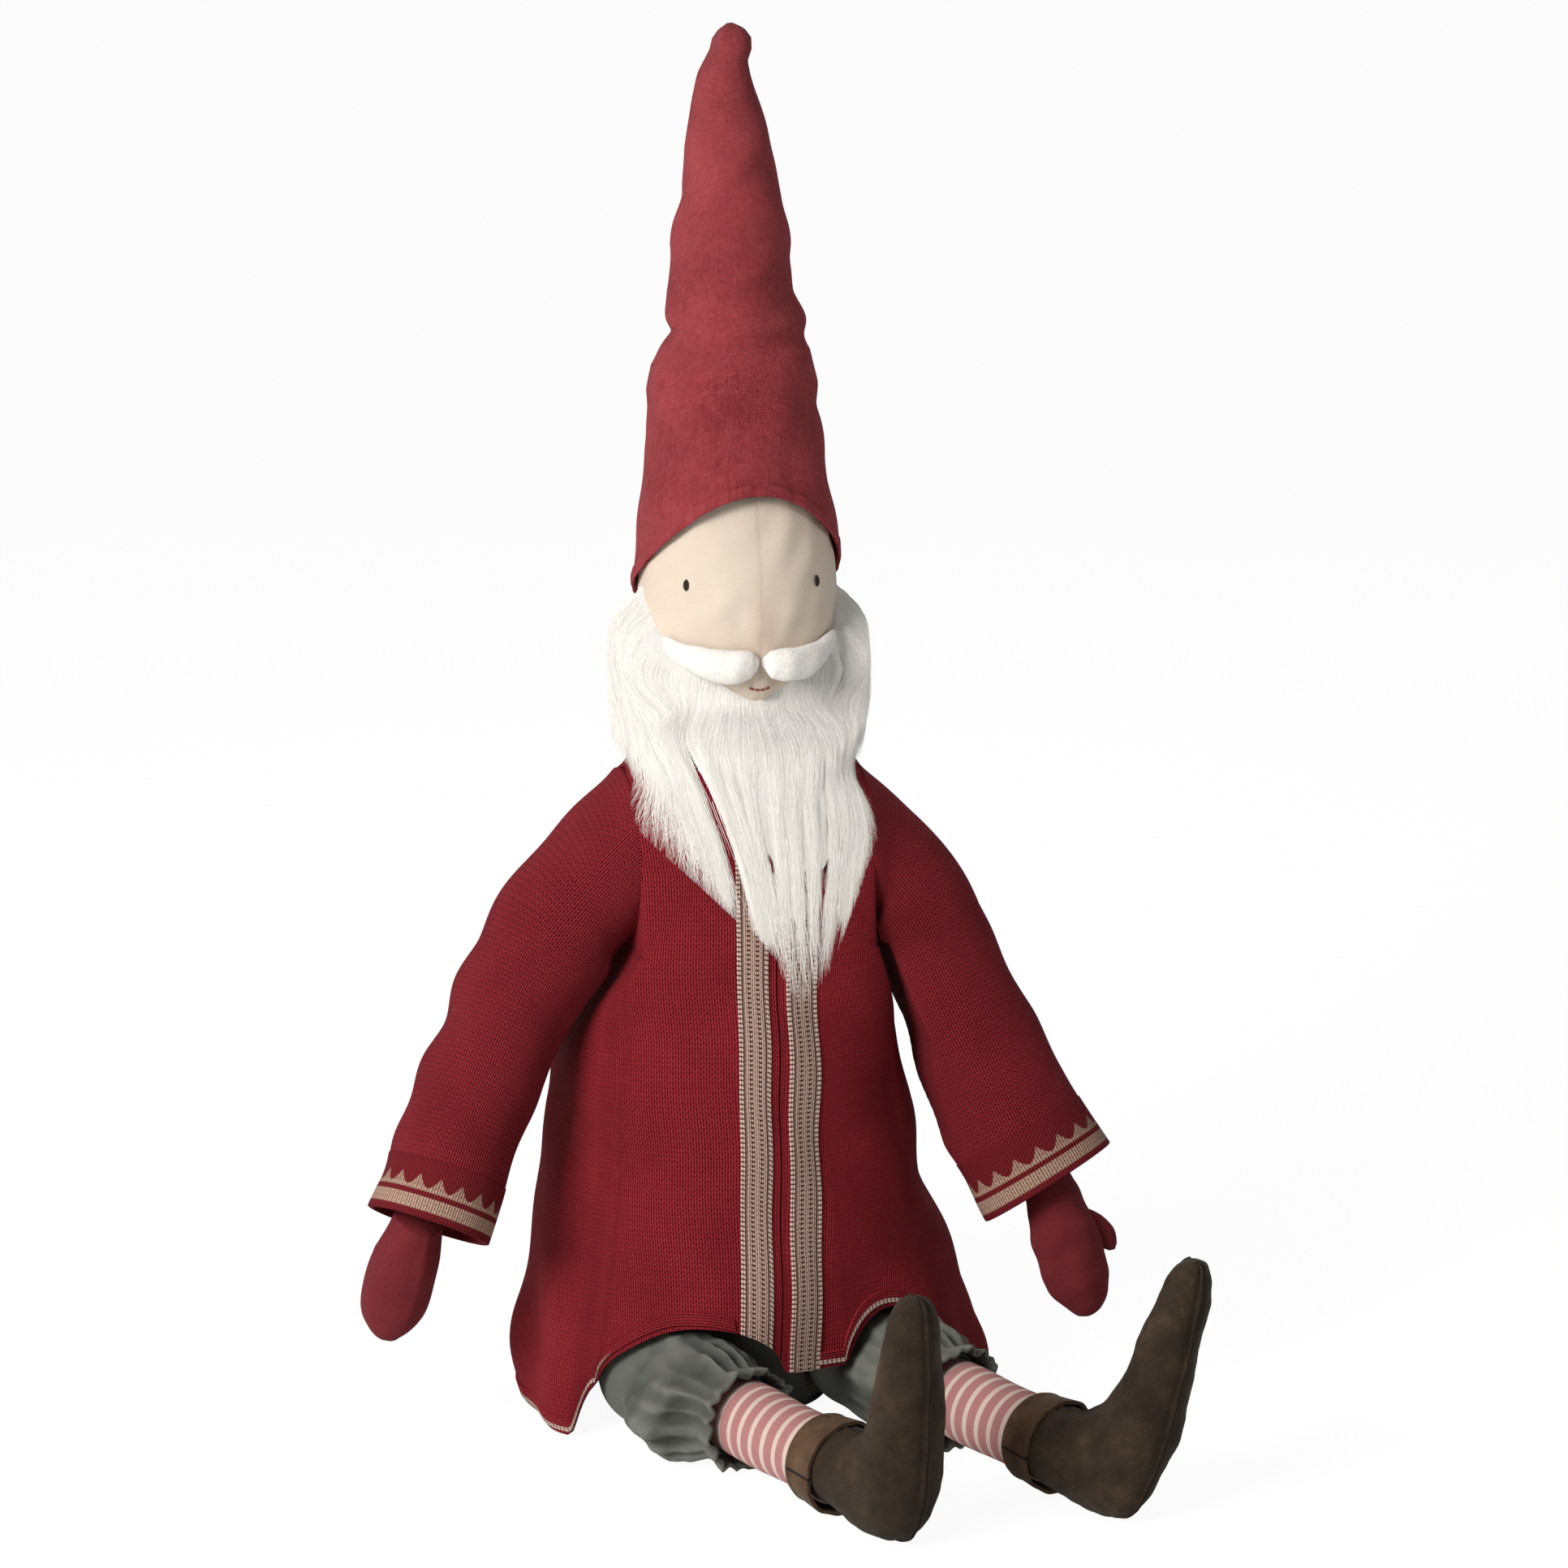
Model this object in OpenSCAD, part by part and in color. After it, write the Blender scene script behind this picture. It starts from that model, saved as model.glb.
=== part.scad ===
// Tomte gnome figurine: a sewn and stuffed cloth figure that sits on the floor.
// Millimetres, +Z up, the figure faces -Y and its right hand is towards -X.
// The origin is under the middle of the seat, on the floor.

/* [Torso] */
// Height of the neck's top, where the head sits
neck_z = 340; // [330:1:352]
// Radius of the neck
neck_r = 20; // [16:0.5:22]
// Radius of the torso at the seat
seat_r = 53; // [49:0.5:55]
// Radius of the torso at the chest
chest_r = 42; // [36:0.5:46]
// Thickness of a sewn cloth cover
cover_t = 1.4; // [1:0.1:2]
// Gap left between a cover and what fills it
fill_gap = 0.25; // [0.15:0.05:0.5]
// Height of the weight bag in the seat
weight_h = 34; // [24:1:44]
// Radius of the weight bag
weight_r = 18; // [14:0.5:20]

/* [Head] */
// Radius of the head at its widest
head_r = 47.5; // [45:0.5:50]
// Height from the neck's top to the widest level of the head
head_low = 65; // [60:1:70]
// Height from the widest level to the crown
head_up = 73; // [66:1:80]
// Height of the eyes above the widest level
eye_rise = 7; // [3:0.5:10]
// Turn of the right eye from the centre seam, in degrees
right_eye_turn = 44; // [38:1:48]
// Turn of the left eye from the centre seam, in degrees
left_eye_turn = 38; // [34:1:46]
// Width of an eye's stitches
eye_w = 2.6; // [2:0.1:3.4]
// Height of an eye's stitches
eye_h = 5.6; // [4.5:0.1:7]
// Height of the mouth above the neck's top
mouth_rise = 22.5; // [21:0.5:23.5]
// Width of the mouth
mouth_w = 9.5; // [7:0.5:12]
// Thickness of the mouth's thread
mouth_t = 1.2; // [0.9:0.1:1.6]

/* [Moustache and beard] */
// Height of a moustache half
moustache_h = 16; // [13:0.5:17]
// Thickness of a moustache half
moustache_t = 10; // [8:0.5:12]
// How far round the head a moustache half reaches, in degrees
moustache_turn = 57; // [48:1:58]
// Height of the moustache's middle above the neck's top
moustache_rise = 36; // [35:0.5:40]
// Thickness of the beard
beard_t = 9.6; // [7:0.4:12]
// Thickness of the beard at the cheeks
cheek_t = 16.5; // [12:0.5:18]
// Height of the beard's tip above the floor
beard_tip_z = 205; // [190:1:230]

/* [Hat] */
// Height of the hat's tip above the widest level of the head
hat_h = 265; // [240:1:290]
// Thickness of the hat's cloth
hat_t = 1.3; // [1:0.1:1.8]
// Gap between the hat and the head
hat_gap = 1.3; // [1.2:0.05:1.8]
// Height of the brim above the widest level, at the front
brim_front = 50; // [44:1:56]
// Height of the brim above the widest level, at the sides
brim_side = 7; // [3:1:12]
// Depth of the hat's folds
hat_fold = 1.2; // [0.6:0.1:1.6]

/* [Coat] */
// Thickness of the knitted cloth
knit_t = 2.2; // [1.6:0.1:2.6]
// Half of the coat's width at the hem
hem_half = 120; // [114:1:126]
// Depth of the coat from the middle to the front, at the hem
hem_depth = 91; // [86:1:96]
// Height of the hem above the floor at the sides and back
hem_floor = 1; // [0.6:0.1:3]
// Height of the hem between the thighs
hem_dip = 38; // [32:1:44]
// Gap between the hem and the thighs under it
hem_gap = 6; // [5:0.5:8]
// Depth of the folds at the hem
skirt_fold = 2.5; // [1:0.1:3.5]
// Half of the coat's width at its armholes
armhole_x = 57.6; // [56:0.2:60]
// Radius of an armhole
armhole_r = 42; // [39:0.5:43]
// Height of the shoulder joints
shoulder_z = 276; // [272:1:279]
// Gap between the coat and a sleeve at the armhole
armhole_gap = 0.5; // [0.4:0.1:1]
// Width of a front band
band_w = 15; // [11:0.5:17]
// Distance of a front band from the front edge
band_in = 4.6; // [3:0.2:6]
// Thickness of the woven bands
band_t = 1; // [0.7:0.1:1.3]
// Gap between a band and the knit that it is sewn on
band_gap = 0.15; // [0.1:0.05:0.3]
// Height of the hem band
hem_band_h = 6; // [4:0.5:8]
// Height of the neck band
neck_band_h = 8; // [6:0.5:9]

/* [Arms] */
// Radius of a sleeve at the cuff
cuff_r = 31; // [28:0.5:32]
// Outward reach of the right cuff from the armhole
right_reach = 106; // [96:1:112]
// Outward reach of the left cuff from the armhole
left_reach = 82; // [78:1:92]
// Forward reach of the right cuff
right_forward = 52; // [40:1:64]
// Forward reach of the left cuff
left_forward = 63; // [50:1:70]
// Width of the right sleeve's cuff as a share of its round width
right_flat = 0.93; // [0.85:0.01:1.15]
// Width of the left sleeve's cuff as a share of its round width
left_flat = 1.13; // [0.85:0.01:1.15]
// Gap between a hanging sleeve and the coat's side
sleeve_gap = 3.2; // [2.5:0.1:5]
// Drop of the cuffs below the shoulder joints
cuff_drop = 162; // [150:1:172]
// Radius of a stuffed arm
arm_r = 13; // [11:0.5:15]
// Half of a mitten's width
mitten_half = 16.5; // [14:0.5:18]
// Length of a mitten
mitten_l = 72; // [64:1:76]
// Height of a cuff's patterned band
cuff_band_h = 14; // [10:0.5:18]
// Radius of the joint threads
thread_r = 1.2; // [0.9:0.1:1.5]
// Running clearance of a limb on its thread
thread_gap = 0.08; // [0.05:0.01:0.1]

/* [Legs] */
// Distance between the hip joints
hip_w = 104; // [100:1:110]
// Sideways place of the middle between the hips
hip_x = -2; // [-5:0.5:2]
// Forward place of the hip joints
hip_y = 45; // [43:0.5:48]
// Height of the hip joints
hip_z = 28; // [27.6:0.1:29]
// Turn of the legs to the figure's left, in degrees
leg_turn = 24; // [18:1:27]
// Slope of the legs down to the heels, in degrees
leg_slope = 1.7; // [1.2:0.1:1.8]
// Radius of a striped leg
leg_r = 18.4; // [16.5:0.2:19]
// Length from the hip to the boot's cuff
boot_at = 128; // [122:1:134]
// Radius of a breeches leg
breeches_r = 27.4; // [26.5:0.1:27.5]
// Length of a breeches leg from the hip to its elastic
breeches_l = 66; // [60:1:76]
// Length of the frill below the elastic
frill_l = 10; // [8:0.5:14]
// Height of a boot from its heel to its toe
boot_h = 119; // [110:1:128]
// Sideways lean of the left boot's toe
toe_lean = 36; // [0:1:40]
// Length of a turned-down boot cuff
boot_cuff_l = 18; // [15:0.5:22]
// Thickness of the boot's cloth
boot_t = 1.6; // [1.2:0.1:2]
// Height of the breeches above the floor at the waist
waist_z = 78; // [70:1:88]

/* [Hidden] */
$fn = 64;

RIGHT = -1;
LEFT = 1;

knit_red = "#7a2029";
linen = "#e9d5c0";
wool = "#f3efe9";
hat_red = "#9c3f45";
trim = "#a08478";
velvet = "#565a53";
felt_red = "#7d3136";
leather = "#43372b";
stripe_pink = "#cc9f99";
inner_cloth = "#d9cfc0";

// Levels that follow from the sizes above
widest_z = neck_z + head_low;
seat_bottom = cover_t + fill_gap;
neckline_z = shoulder_z + armhole_r + 4;
neckline_half = armhole_x - 3;
neckline_depth = 38;
armpit_z = shoulder_z - armhole_r;
skirt_top = 110;

// Small helpers
function lerp(a, b, t) = a + (b - a) * t;
function clamp(x, low, high) = min(max(x, low), high);
function ease(t) = let (c = clamp(t, 0, 1)) c * c * (3 - 2 * c);
function unit(v) = v / norm(v);
function flat(lists) = [for (l = lists) for (p = l) p];
function middle(ring) = [for (k = [0:2])
    lerp(min([for (p = ring) p[k]]), max([for (p = ring) p[k]]), 0.5)];
function turned(faces, flip) = flip ? [for (f = faces) [f[0], f[2], f[1]]] : faces;

// Two triangles for each cell between rows i and i + 1, in a grid of c columns that starts at point o
function strip(i, c, o, wrap) = [for (j = [0:c - (wrap ? 1 : 2)])
    let (k = (j + 1) % c, a = o + i * c, b = o + (i + 1) * c)
    each [[a + j, b + j, b + k], [a + j, b + k, a + k]]];

// A closed form through rings of points, with its two ends capped
module loft(rings, flip = false) {
    n = len(rings);
    c = len(rings[0]);
    first = n * c;
    points = concat(flat(rings), [middle(rings[0]), middle(rings[n - 1])]);
    sides = [for (i = [0:n - 2]) each strip(i, c, 0, true)];
    ends = [for (j = [0:c - 1]) let (k = (j + 1) % c, top = (n - 1) * c)
        each [[first, j, k], [first + 1, top + k, top + j]]];
    polyhedron(points, turned(concat(sides, ends), flip));
}

// A tube with a wall, between outer rings and inner rings; closed adds a tip at the far end
module sleeve_of(outer, inner, closed = false) {
    n = len(outer);
    m = len(inner);
    c = len(outer[0]);
    o = n * c;
    tip = o + m * c;
    points = concat(flat(outer), flat(inner), [middle(outer[n - 1]), middle(inner[m - 1])]);
    outside = [for (i = [0:n - 2]) each strip(i, c, 0, true)];
    inside = turned([for (i = [0:m - 2]) each strip(i, c, o, true)], true);
    near = [for (j = [0:c - 1]) let (k = (j + 1) % c) each [[j, k, o + k], [j, o + k, o + j]]];
    a = (n - 1) * c;
    b = o + (m - 1) * c;
    rim = [for (j = [0:c - 1]) let (k = (j + 1) % c) each [[a + k, a + j, b + j], [a + k, b + j, b + k]]];
    tips = [for (j = [0:c - 1]) let (k = (j + 1) % c) each [[tip, a + k, a + j], [tip + 1, b + j, b + k]]];
    polyhedron(points, concat(outside, inside, near, closed ? tips : rim));
}

// A sheet with a wall, between an outer and an inner grid of points
module sheet_of(outer, inner, flip = false) {
    n = len(outer);
    c = len(outer[0]);
    o = n * c;
    e = (n - 1) * c;
    outside = [for (i = [0:n - 2]) each strip(i, c, 0, false)];
    inside = turned([for (i = [0:n - 2]) each strip(i, c, o, false)], true);
    rows = [for (j = [0:c - 2]) each [[j, j + 1, o + j + 1], [j, o + j + 1, o + j],
        [e + j + 1, e + j, o + e + j], [e + j + 1, o + e + j, o + e + j + 1]]];
    cols = [for (i = [0:n - 2]) let (a = i * c, b = a + c, z = a + c - 1, y = b + c - 1)
        each [[b, a, o + a], [b, o + a, o + b], [z, y, o + y], [z, o + y, o + z]]];
    polyhedron(concat(flat(outer), flat(inner)), turned(concat(outside, inside, rows, cols), flip));
}

// Head: a round form whose radius falls off as an ellipse above and below the widest level
function head_at(z, out = 0) = let (
    h = z > widest_z ? head_up : head_low * 1.1, u = (z - widest_z) / (h + out))
    (head_r + out) * sqrt(max(0, 1 - u * u));
head_steps = 14;
function head_levels(out) = let (low = neck_z - min(out, 0), high = widest_z + head_up + out)
    [for (i = [0:head_steps]) lerp(low, high, (1 - cos(180 * i / head_steps)) / 2)];
function head_outline(out) = let (levels = head_levels(out)) concat([[0, levels[0]]],
    [for (i = [0:head_steps - 1]) [head_at(levels[i], out), levels[i]]], [[0, levels[head_steps]]]);

module head_form(out) {
    rotate_extrude() polygon(head_outline(out));
}

module head_panel(side) {
    seam_gap = 0.1;
    color(linen) intersection() {
        difference() {
            head_form(0);
            head_form(-cover_t);
        }
        translate([side > 0 ? seam_gap / 2 : -2 * head_r, -head_r - 1, neck_z - 1])
            cube([2 * head_r - seam_gap / 2, 2 * head_r + 2, head_low + head_up + 2]);
    }
}
module head_right_panel() { head_panel(RIGHT); }
module head_left_panel() { head_panel(LEFT); }
module head_stuffing() { color(inner_cloth) head_form(-cover_t - fill_gap); }

// Face: upright satin stitches side by side for each eye, and one curved stitch for the mouth
stitch_gap = 0.1;
eye_stitches = 3;
module eye(turn, side) {
    z = widest_z + eye_rise;
    r = eye_w / eye_stitches / 2;
    for (k = [-1:1]) color("#2a211d") rotate([0, 0, side * turn])
        translate([k * (2 * r + stitch_gap), -head_at(z) - r - stitch_gap - k * k * 0.05, z]) {
            half = (eye_h - k * k) / 2 - r;
            translate([0, 0, -half]) cylinder(r = r, h = 2 * half);
            for (end = [-1, 1]) translate([0, 0, end * half]) sphere(r = r);
        }
}
module right_eye() { eye(right_eye_turn, RIGHT); }
module left_eye() { eye(left_eye_turn, LEFT); }

module mouth_stitch() {
    z = neck_z + mouth_rise;
    half_turn = mouth_w / 2 / head_at(z) * 180 / PI;
    color("#8c4a3c") translate([0, 0, z]) rotate([0, 0, -90 - half_turn])
        rotate_extrude(angle = 2 * half_turn)
            translate([head_at(z) + mouth_t + stitch_gap, 0]) circle(d = mouth_t);
}

// Moustache: felted lobes that lie round the face and taper to their outer ends
moustache_gap = 0.6;
function moustache_ring(side, s) = let (
    turn = side * lerp(1.2, moustache_turn, s),
    z = neck_z + moustache_rise - 2.5 * sin(180 * s) + 9 * s * s,
    full = lerp(0.55, 1, ease(s * 4)) * (1 - 0.72 * ease((s - 0.35) / 0.65)),
    r = head_at(z) + moustache_gap + moustache_t / 2 * full)
    [for (k = [0:9]) let (a = 36 * k, rr = r + moustache_t / 2 * full * cos(a))
        [rr * sin(turn), -rr * cos(turn), z + moustache_h / 2 * full * sin(a)]];
module moustache(side) {
    color(wool) loft([for (i = [0:8]) moustache_ring(side, i / 8)], side > 0);
}
module right_moustache() { moustache(RIGHT); }
module left_moustache() { moustache(LEFT); }

// Coat: a bell of knitted cloth; each level is an ellipse with flat sides under and at the arms
coat_side = [[0, hem_half - 10], [16, hem_half - 3], [34, hem_half - 4], [60, hem_half - 11],
    [skirt_top, hem_half - 23], [150, hem_half - 30], [182, hem_half - 36],
    [205, hem_half - 45], [218, armhole_x + 9.4], [armpit_z, armhole_x]];
coat_front = [[0, hem_depth], [60, hem_depth - 3], [skirt_top, hem_depth - 9], [180, hem_depth - 21],
    [armpit_z, armhole_r + 17], [shoulder_z, armhole_r + 9], [shoulder_z + 30, armhole_r + 1],
    [neckline_z, neckline_depth]];
coat_sway = [[0, 9], [60, 2], [100, -3], [150, -6], [190, -6], [armpit_z, 0]];
front_open = [[0, -3], [shoulder_z, 6]];

function coat_depth(z) = lookup(z, coat_front);
function armhole_y(z) = sqrt(max(0, armhole_r * armhole_r - (z - shoulder_z) * (z - shoulder_z)));
// Half of the full ellipse at each level, and the flat sides that cut it at the armholes and under the arms
coat_wide = [[0, hem_half - 10], [16, hem_half - 3], [34, hem_half - 4], [60, hem_half - 11],
    [skirt_top, hem_half - 23], [150, hem_half - 30], [205, hem_half - 32],
    [armpit_z, hem_half - 28], [shoulder_z, hem_half - 19]];
function coat_half(z) = z <= shoulder_z ? lookup(z, coat_wide)
    : z >= shoulder_z + armhole_r ? lerp(armhole_x, neckline_half, (z - shoulder_z - armhole_r) / 4)
    : armhole_x / sqrt(1 - pow(armhole_y(z) / coat_depth(z), 2));
function coat_limit(z) = z <= armpit_z ? lookup(z, coat_side) : min(armhole_x, coat_half(z));
function coat_middle(z) = z >= armpit_z ? 0 : lookup(z, coat_sway);
function coat_fold(turn, z) = skirt_fold * cos(7 * turn + 40) * ease((skirt_top - z) / skirt_top);

// The point at one turn from the front, positive to the figure's left, and one level, moved out
function coat_point(turn, z, out) = let (f = coat_fold(turn, z) + out)
    [coat_middle(z) + clamp((coat_half(z) + f) * sin(turn), -coat_limit(z) - f, coat_limit(z) + f),
        -(coat_depth(z) + f) * cos(turn), z];
function open_turn(z, shift) = asin((lookup(z, front_open) + shift - coat_middle(z)) / coat_half(z));
function side_turn(z) = acos(armhole_y(z) / coat_depth(z));

// Height of the hem at one turn: it arches over each thigh and dips between them
function hip(side) = [hip_x + side * hip_w / 2, -hip_y];
leg_way = [sin(leg_turn), -cos(leg_turn)];
function across(p, side) = let (v = p - hip(side)) leg_way[0] * v[1] - leg_way[1] * v[0];
function from_thigh(p, side) = let (v = p - hip(side)) v * leg_way > 0 ? abs(across(p, side)) : norm(v);
hem_ramp = 14;
function arch(d) = let (rc = breeches_r + hem_gap) d < rc ? hip_z + sqrt(rc * rc - d * d)
    : lerp(hip_z, hem_floor, ease((d - rc) / hem_ramp));
function hem_at(turn) = let (q = coat_point(turn, hip_z, 0), p = [q[0], q[1]],
    between = cos(turn) > 0.3 && across(p, RIGHT) > 0 && across(p, LEFT) < 0)
    max(arch(from_thigh(p, RIGHT)), arch(from_thigh(p, LEFT)), between ? hem_dip : hem_floor);

// Levels of a panel's rows: the lowest ones spread from the hem up to the skirt's top
upper_rows = [skirt_top, 150, 182, 205, 218, armpit_z, lerp(armpit_z, shoulder_z, 0.4), shoulder_z,
    lerp(shoulder_z, shoulder_z + armhole_r, 0.6), shoulder_z + armhole_r, neckline_z];
lower_rows = [0, 0.25, 0.6];
function row_level(i, turn) = i < len(lower_rows) ? lerp(hem_at(turn), skirt_top, lower_rows[i])
    : upper_rows[i - len(lower_rows)];
row_count = len(lower_rows) + len(upper_rows);

// Turns of a front panel's columns, from its free edge to its side seam
side_columns = 12;
edge_gap = 0.3;
function front_turn(side, j, z) = let (
    band_end = open_turn(z, side * (band_in + band_w)))
    j == 0 ? open_turn(z, side * edge_gap)
    : j == 1 ? open_turn(z, side * band_in)
    : lerp(band_end, side * side_turn(z), (j - 2) / side_columns);
function front_point(side, i, j, out) = let (
    z0 = row_level(i, front_turn(side, j, hip_z)), turn = front_turn(side, j, z0))
    coat_point(turn, z0, out);
function front_grid(side, from, to, out) = [for (i = [0:row_count - 1]) [for (j = [from:to])
    front_point(side, i, j, out)]];
module coat_front_panel(side) {
    last = side_columns + 2;
    color(knit_red) sheet_of(front_grid(side, 0, last, 0), front_grid(side, 0, last, -knit_t), side < 0);
}
module coat_right_front() { coat_front_panel(RIGHT); }
module coat_left_front() { coat_front_panel(LEFT); }

seam_gap_turn = 0.15;
back_columns = 16;
function back_turn(j, z) = let (s = j / back_columns * 2 - 1, a = side_turn(z) - seam_gap_turn) 180 + s * a;
function back_point(i, j, out) = let (z = row_level(i, back_turn(j, hip_z)))
    coat_point(back_turn(j, z), z, out);
function back_grid(out) = [for (i = [0:row_count - 1]) [for (j = [0:back_columns]) back_point(i, j, out)]];
module coat_back() {
    color(knit_red) sheet_of(back_grid(0), back_grid(-knit_t));
}

module front_band(side) {
    rows = [for (i = [0:row_count - 3]) i];
    grid = function (out) [for (i = rows) [for (j = [1:2]) front_point(side, i, j, out)]];
    color(trim) sheet_of(grid(band_gap + band_t), grid(band_gap), side < 0);
}
module right_front_band() { front_band(RIGHT); }
module left_front_band() { front_band(LEFT); }

// Hem band: a woven strip sewn along the hem, from one front band round the back to the other
// It stands off a little, since the hem curves both ways there
hem_band_rise = 2;
hem_gap_out = 1.6;
function above_hem(low, high, rise) = lerp(low, high, rise / (high[2] - low[2]));
function hem_band_row(side, rise, out) = concat(
    [for (j = [3:side_columns + 2])
        above_hem(front_point(side, 0, j, out), front_point(side, 1, j, out), rise)],
    [for (k = [1:back_columns / 2]) let (j = side < 0 ? back_columns - k : k)
        above_hem(back_point(0, j, out), back_point(1, j, out), rise)]);
function hem_band_loop(rise, out) = let (
    right = hem_band_row(RIGHT, rise, out), left = hem_band_row(LEFT, rise, out))
    concat(right, [for (k = [len(left) - 2:-1:0]) left[k]]);
module hem_band() {
    low = hem_band_rise;
    high = hem_band_rise + hem_band_h;
    grid = function (out) [hem_band_loop(low, out), hem_band_loop(high, out)];
    color(trim) sheet_of(grid(hem_gap_out + band_t), grid(hem_gap_out), true);
}

module neck_band() {
    columns = 24;
    low = neckline_z + band_gap;
    ring = function (z, out) [for (k = [0:columns - 1]) let (t = 360 * k / columns)
        [(neckline_half + out) * sin(t), -(neckline_depth + out) * cos(t), z]];
    color(trim) sleeve_of([ring(low, 0), ring(low + neck_band_h, -2)],
        [ring(low, -knit_t), ring(low + neck_band_h, -2 - knit_t)]);
}

// Beard: a wool sheet that starts at the cheeks and under the mouth and hangs on the chest
beard_gap = 1.2;
beard_tip_turn = 14;
cheek_turn = 66;
beard_end = 105;
// Height of the beard's upper edge at each turn: under the moustache, open at the chin, up at the cheeks;
// cheek_at runs from the neck's top, 0, to the head's widest level, 1
function cheek_at(share) = lerp(neck_z, widest_z, share);
beard_top = [[-beard_end, cheek_at(0.82)], [-85, cheek_at(0.91)], [-cheek_turn, cheek_at(0.8)],
    [-moustache_turn, cheek_at(0.6)], [-43, cheek_at(0.49)], [-29, cheek_at(0.4)], [-15, cheek_at(0.37)],
    [-9, cheek_at(0.29)], [9, cheek_at(0.29)], [15, cheek_at(0.37)], [29, cheek_at(0.4)],
    [43, cheek_at(0.49)], [moustache_turn, cheek_at(0.6)], [cheek_turn, cheek_at(0.8)],
    [85, cheek_at(0.91)], [beard_end, cheek_at(0.82)]];
// Height of the beard's lower edge at each turn; hang_at runs from its tip, 0, to the neckline, 1
function hang_at(share) = lerp(beard_tip_z, neckline_z, share);
beard_foot = [[-beard_end, hang_at(1.14)], [-85, hang_at(1.1)], [-66, hang_at(1.08)], [-57, hang_at(0.89)],
    [-35, hang_at(0.65)], [-16, hang_at(0.49)], [3, hang_at(0.265)], [beard_tip_turn - 4, hang_at(0.04)],
    [beard_tip_turn + 4, beard_tip_z], [28, hang_at(0.205)], [42, hang_at(0.49)], [52, hang_at(0.685)],
    [60, hang_at(1.04)], [66, hang_at(1.09)], [82, hang_at(1.11)], [beard_end, hang_at(1.14)]];
function coat_ray(turn, z) = z > neckline_z + neck_band_h + 2 ? 0
    : let (h = min(z, neckline_z), a = coat_half(h), b = coat_depth(h))
        1 / sqrt(pow(sin(turn) / a, 2) + pow(cos(turn) / b, 2));
chin_z = neck_z + 14;
function beard_in(turn, z) = let (
    hang = lerp(head_at(chin_z), head_r - 1.5, ease((chin_z - z) / 22)),
    face = z > neck_z ? head_at(z) : 0)
    max(hang, face, coat_ray(turn, z) + band_gap + band_t) + beard_gap;
// Thickness: the front thins towards its edges, the sides stay full down to the shoulders
function beard_full(turn, v) = let (
    front = 0.22 + 0.78 * sin(180 * pow(v, 0.7)),
    side = 0.25 + 0.75 * sin(90 * min(1, v / 0.4)) - 0.25 * ease((v - 0.75) / 0.25),
    beside = ease((abs(turn) - 52) / 14))
    lerp(beard_t * front, cheek_t * side, beside);
beard_columns = 28;
beard_rows = 9;
function beard_grid(share) = [for (i = [0:beard_rows]) [for (j = [0:beard_columns]) let (
    turn = lerp(-beard_end, beard_end, j / beard_columns),
    v = i / beard_rows,
    z = lerp(lookup(turn, beard_top), lookup(turn, beard_foot), v),
    lock = 1 + 0.12 * cos(25 * turn) * v,
    r = beard_in(turn, z) + share * beard_full(turn, v) * lock)
    [r * sin(turn), -r * cos(turn), z]]];
module beard() {
    color(wool) sheet_of(beard_grid(1), beard_grid(0), true);
}

// Hat: a tall cone with soft folds; each row is height share, radius and sideways lean
brim_r = head_r + hat_gap + hat_t;
hat_rows = [[0.09, brim_r - 1.5, 0], [0.18, brim_r - 4.6, -0.5], [0.27, brim_r - 8.4, -1],
    [0.355, brim_r - 9.6, -3], [0.4, brim_r - 11, -2.4], [0.445, brim_r - 15, 0],
    [0.53, brim_r - 20.4, -2.8], [0.615, brim_r - 21.4, -3],
    [0.7, 23.4, -2], [0.785, 20.4, -3.8], [0.87, 15.6, -5], [0.925, 11.6, -5.4],
    [0.97, 9, -3.4], [0.995, 4, -2.2]];
hat_columns = 24;
brim_back = -brim_side - 7;
function brim_rise(turn) = let (c = cos(turn)) brim_side + (brim_front - brim_back) / 2 * c
    + ((brim_front + brim_back) / 2 - brim_side) * c * c;
function hat_radius(z) = let (share = (z - widest_z) / hat_h)
    lookup(share, concat([[-0.2, brim_r], [0.02, brim_r]], [for (h = hat_rows) [h[0], h[1]]]));
function hat_lean(z) = lookup((z - widest_z) / hat_h,
    concat([[0.05, 0]], [for (h = hat_rows) [h[0], h[2]]]));
function hat_crease(turn, z) = let (share = (z - widest_z) / hat_h)
    hat_fold * ease((share - 0.3) / 0.1) * (1 - share) * cos(3 * turn + 220 * share);
function hat_point(turn, z, out) = let (r = max(hat_radius(z) + hat_crease(turn, z) + out, 0.8))
    [r * sin(turn) + hat_lean(z), -r * cos(turn), z];
function hat_level(i, turn) = i < 3 ? lerp(widest_z + brim_rise(turn), widest_z + 0.27 * hat_h, i / 3)
    : widest_z + hat_rows[i - 1][0] * hat_h;
function hat_ring(i, out) = [for (k = [0:hat_columns - 1])
    let (t = 360 * k / hat_columns, z = hat_level(i, t))
    hat_point(t, z, out)];
hat_last = len(hat_rows);
module hat() {
    color(hat_red) sleeve_of([for (i = [0:hat_last]) hat_ring(i, 0)],
        [for (i = [0:hat_last - 3]) hat_ring(i, -hat_t)], closed = true);
}

module hat_stuffing() {
    slack = 3;
    crown = widest_z + head_up + hat_gap;
    rows = [for (i = [4:hat_last - 4]) widest_z + hat_rows[i - 1][0] * hat_h];
    levels = concat([crown], [for (z = rows) if (z > crown + 4) z]);
    color(inner_cloth) loft([for (z = levels) [for (k = [0:15])
        hat_point(22.5 * k, z, -hat_t - hat_fold - slack)]]);
}

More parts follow.
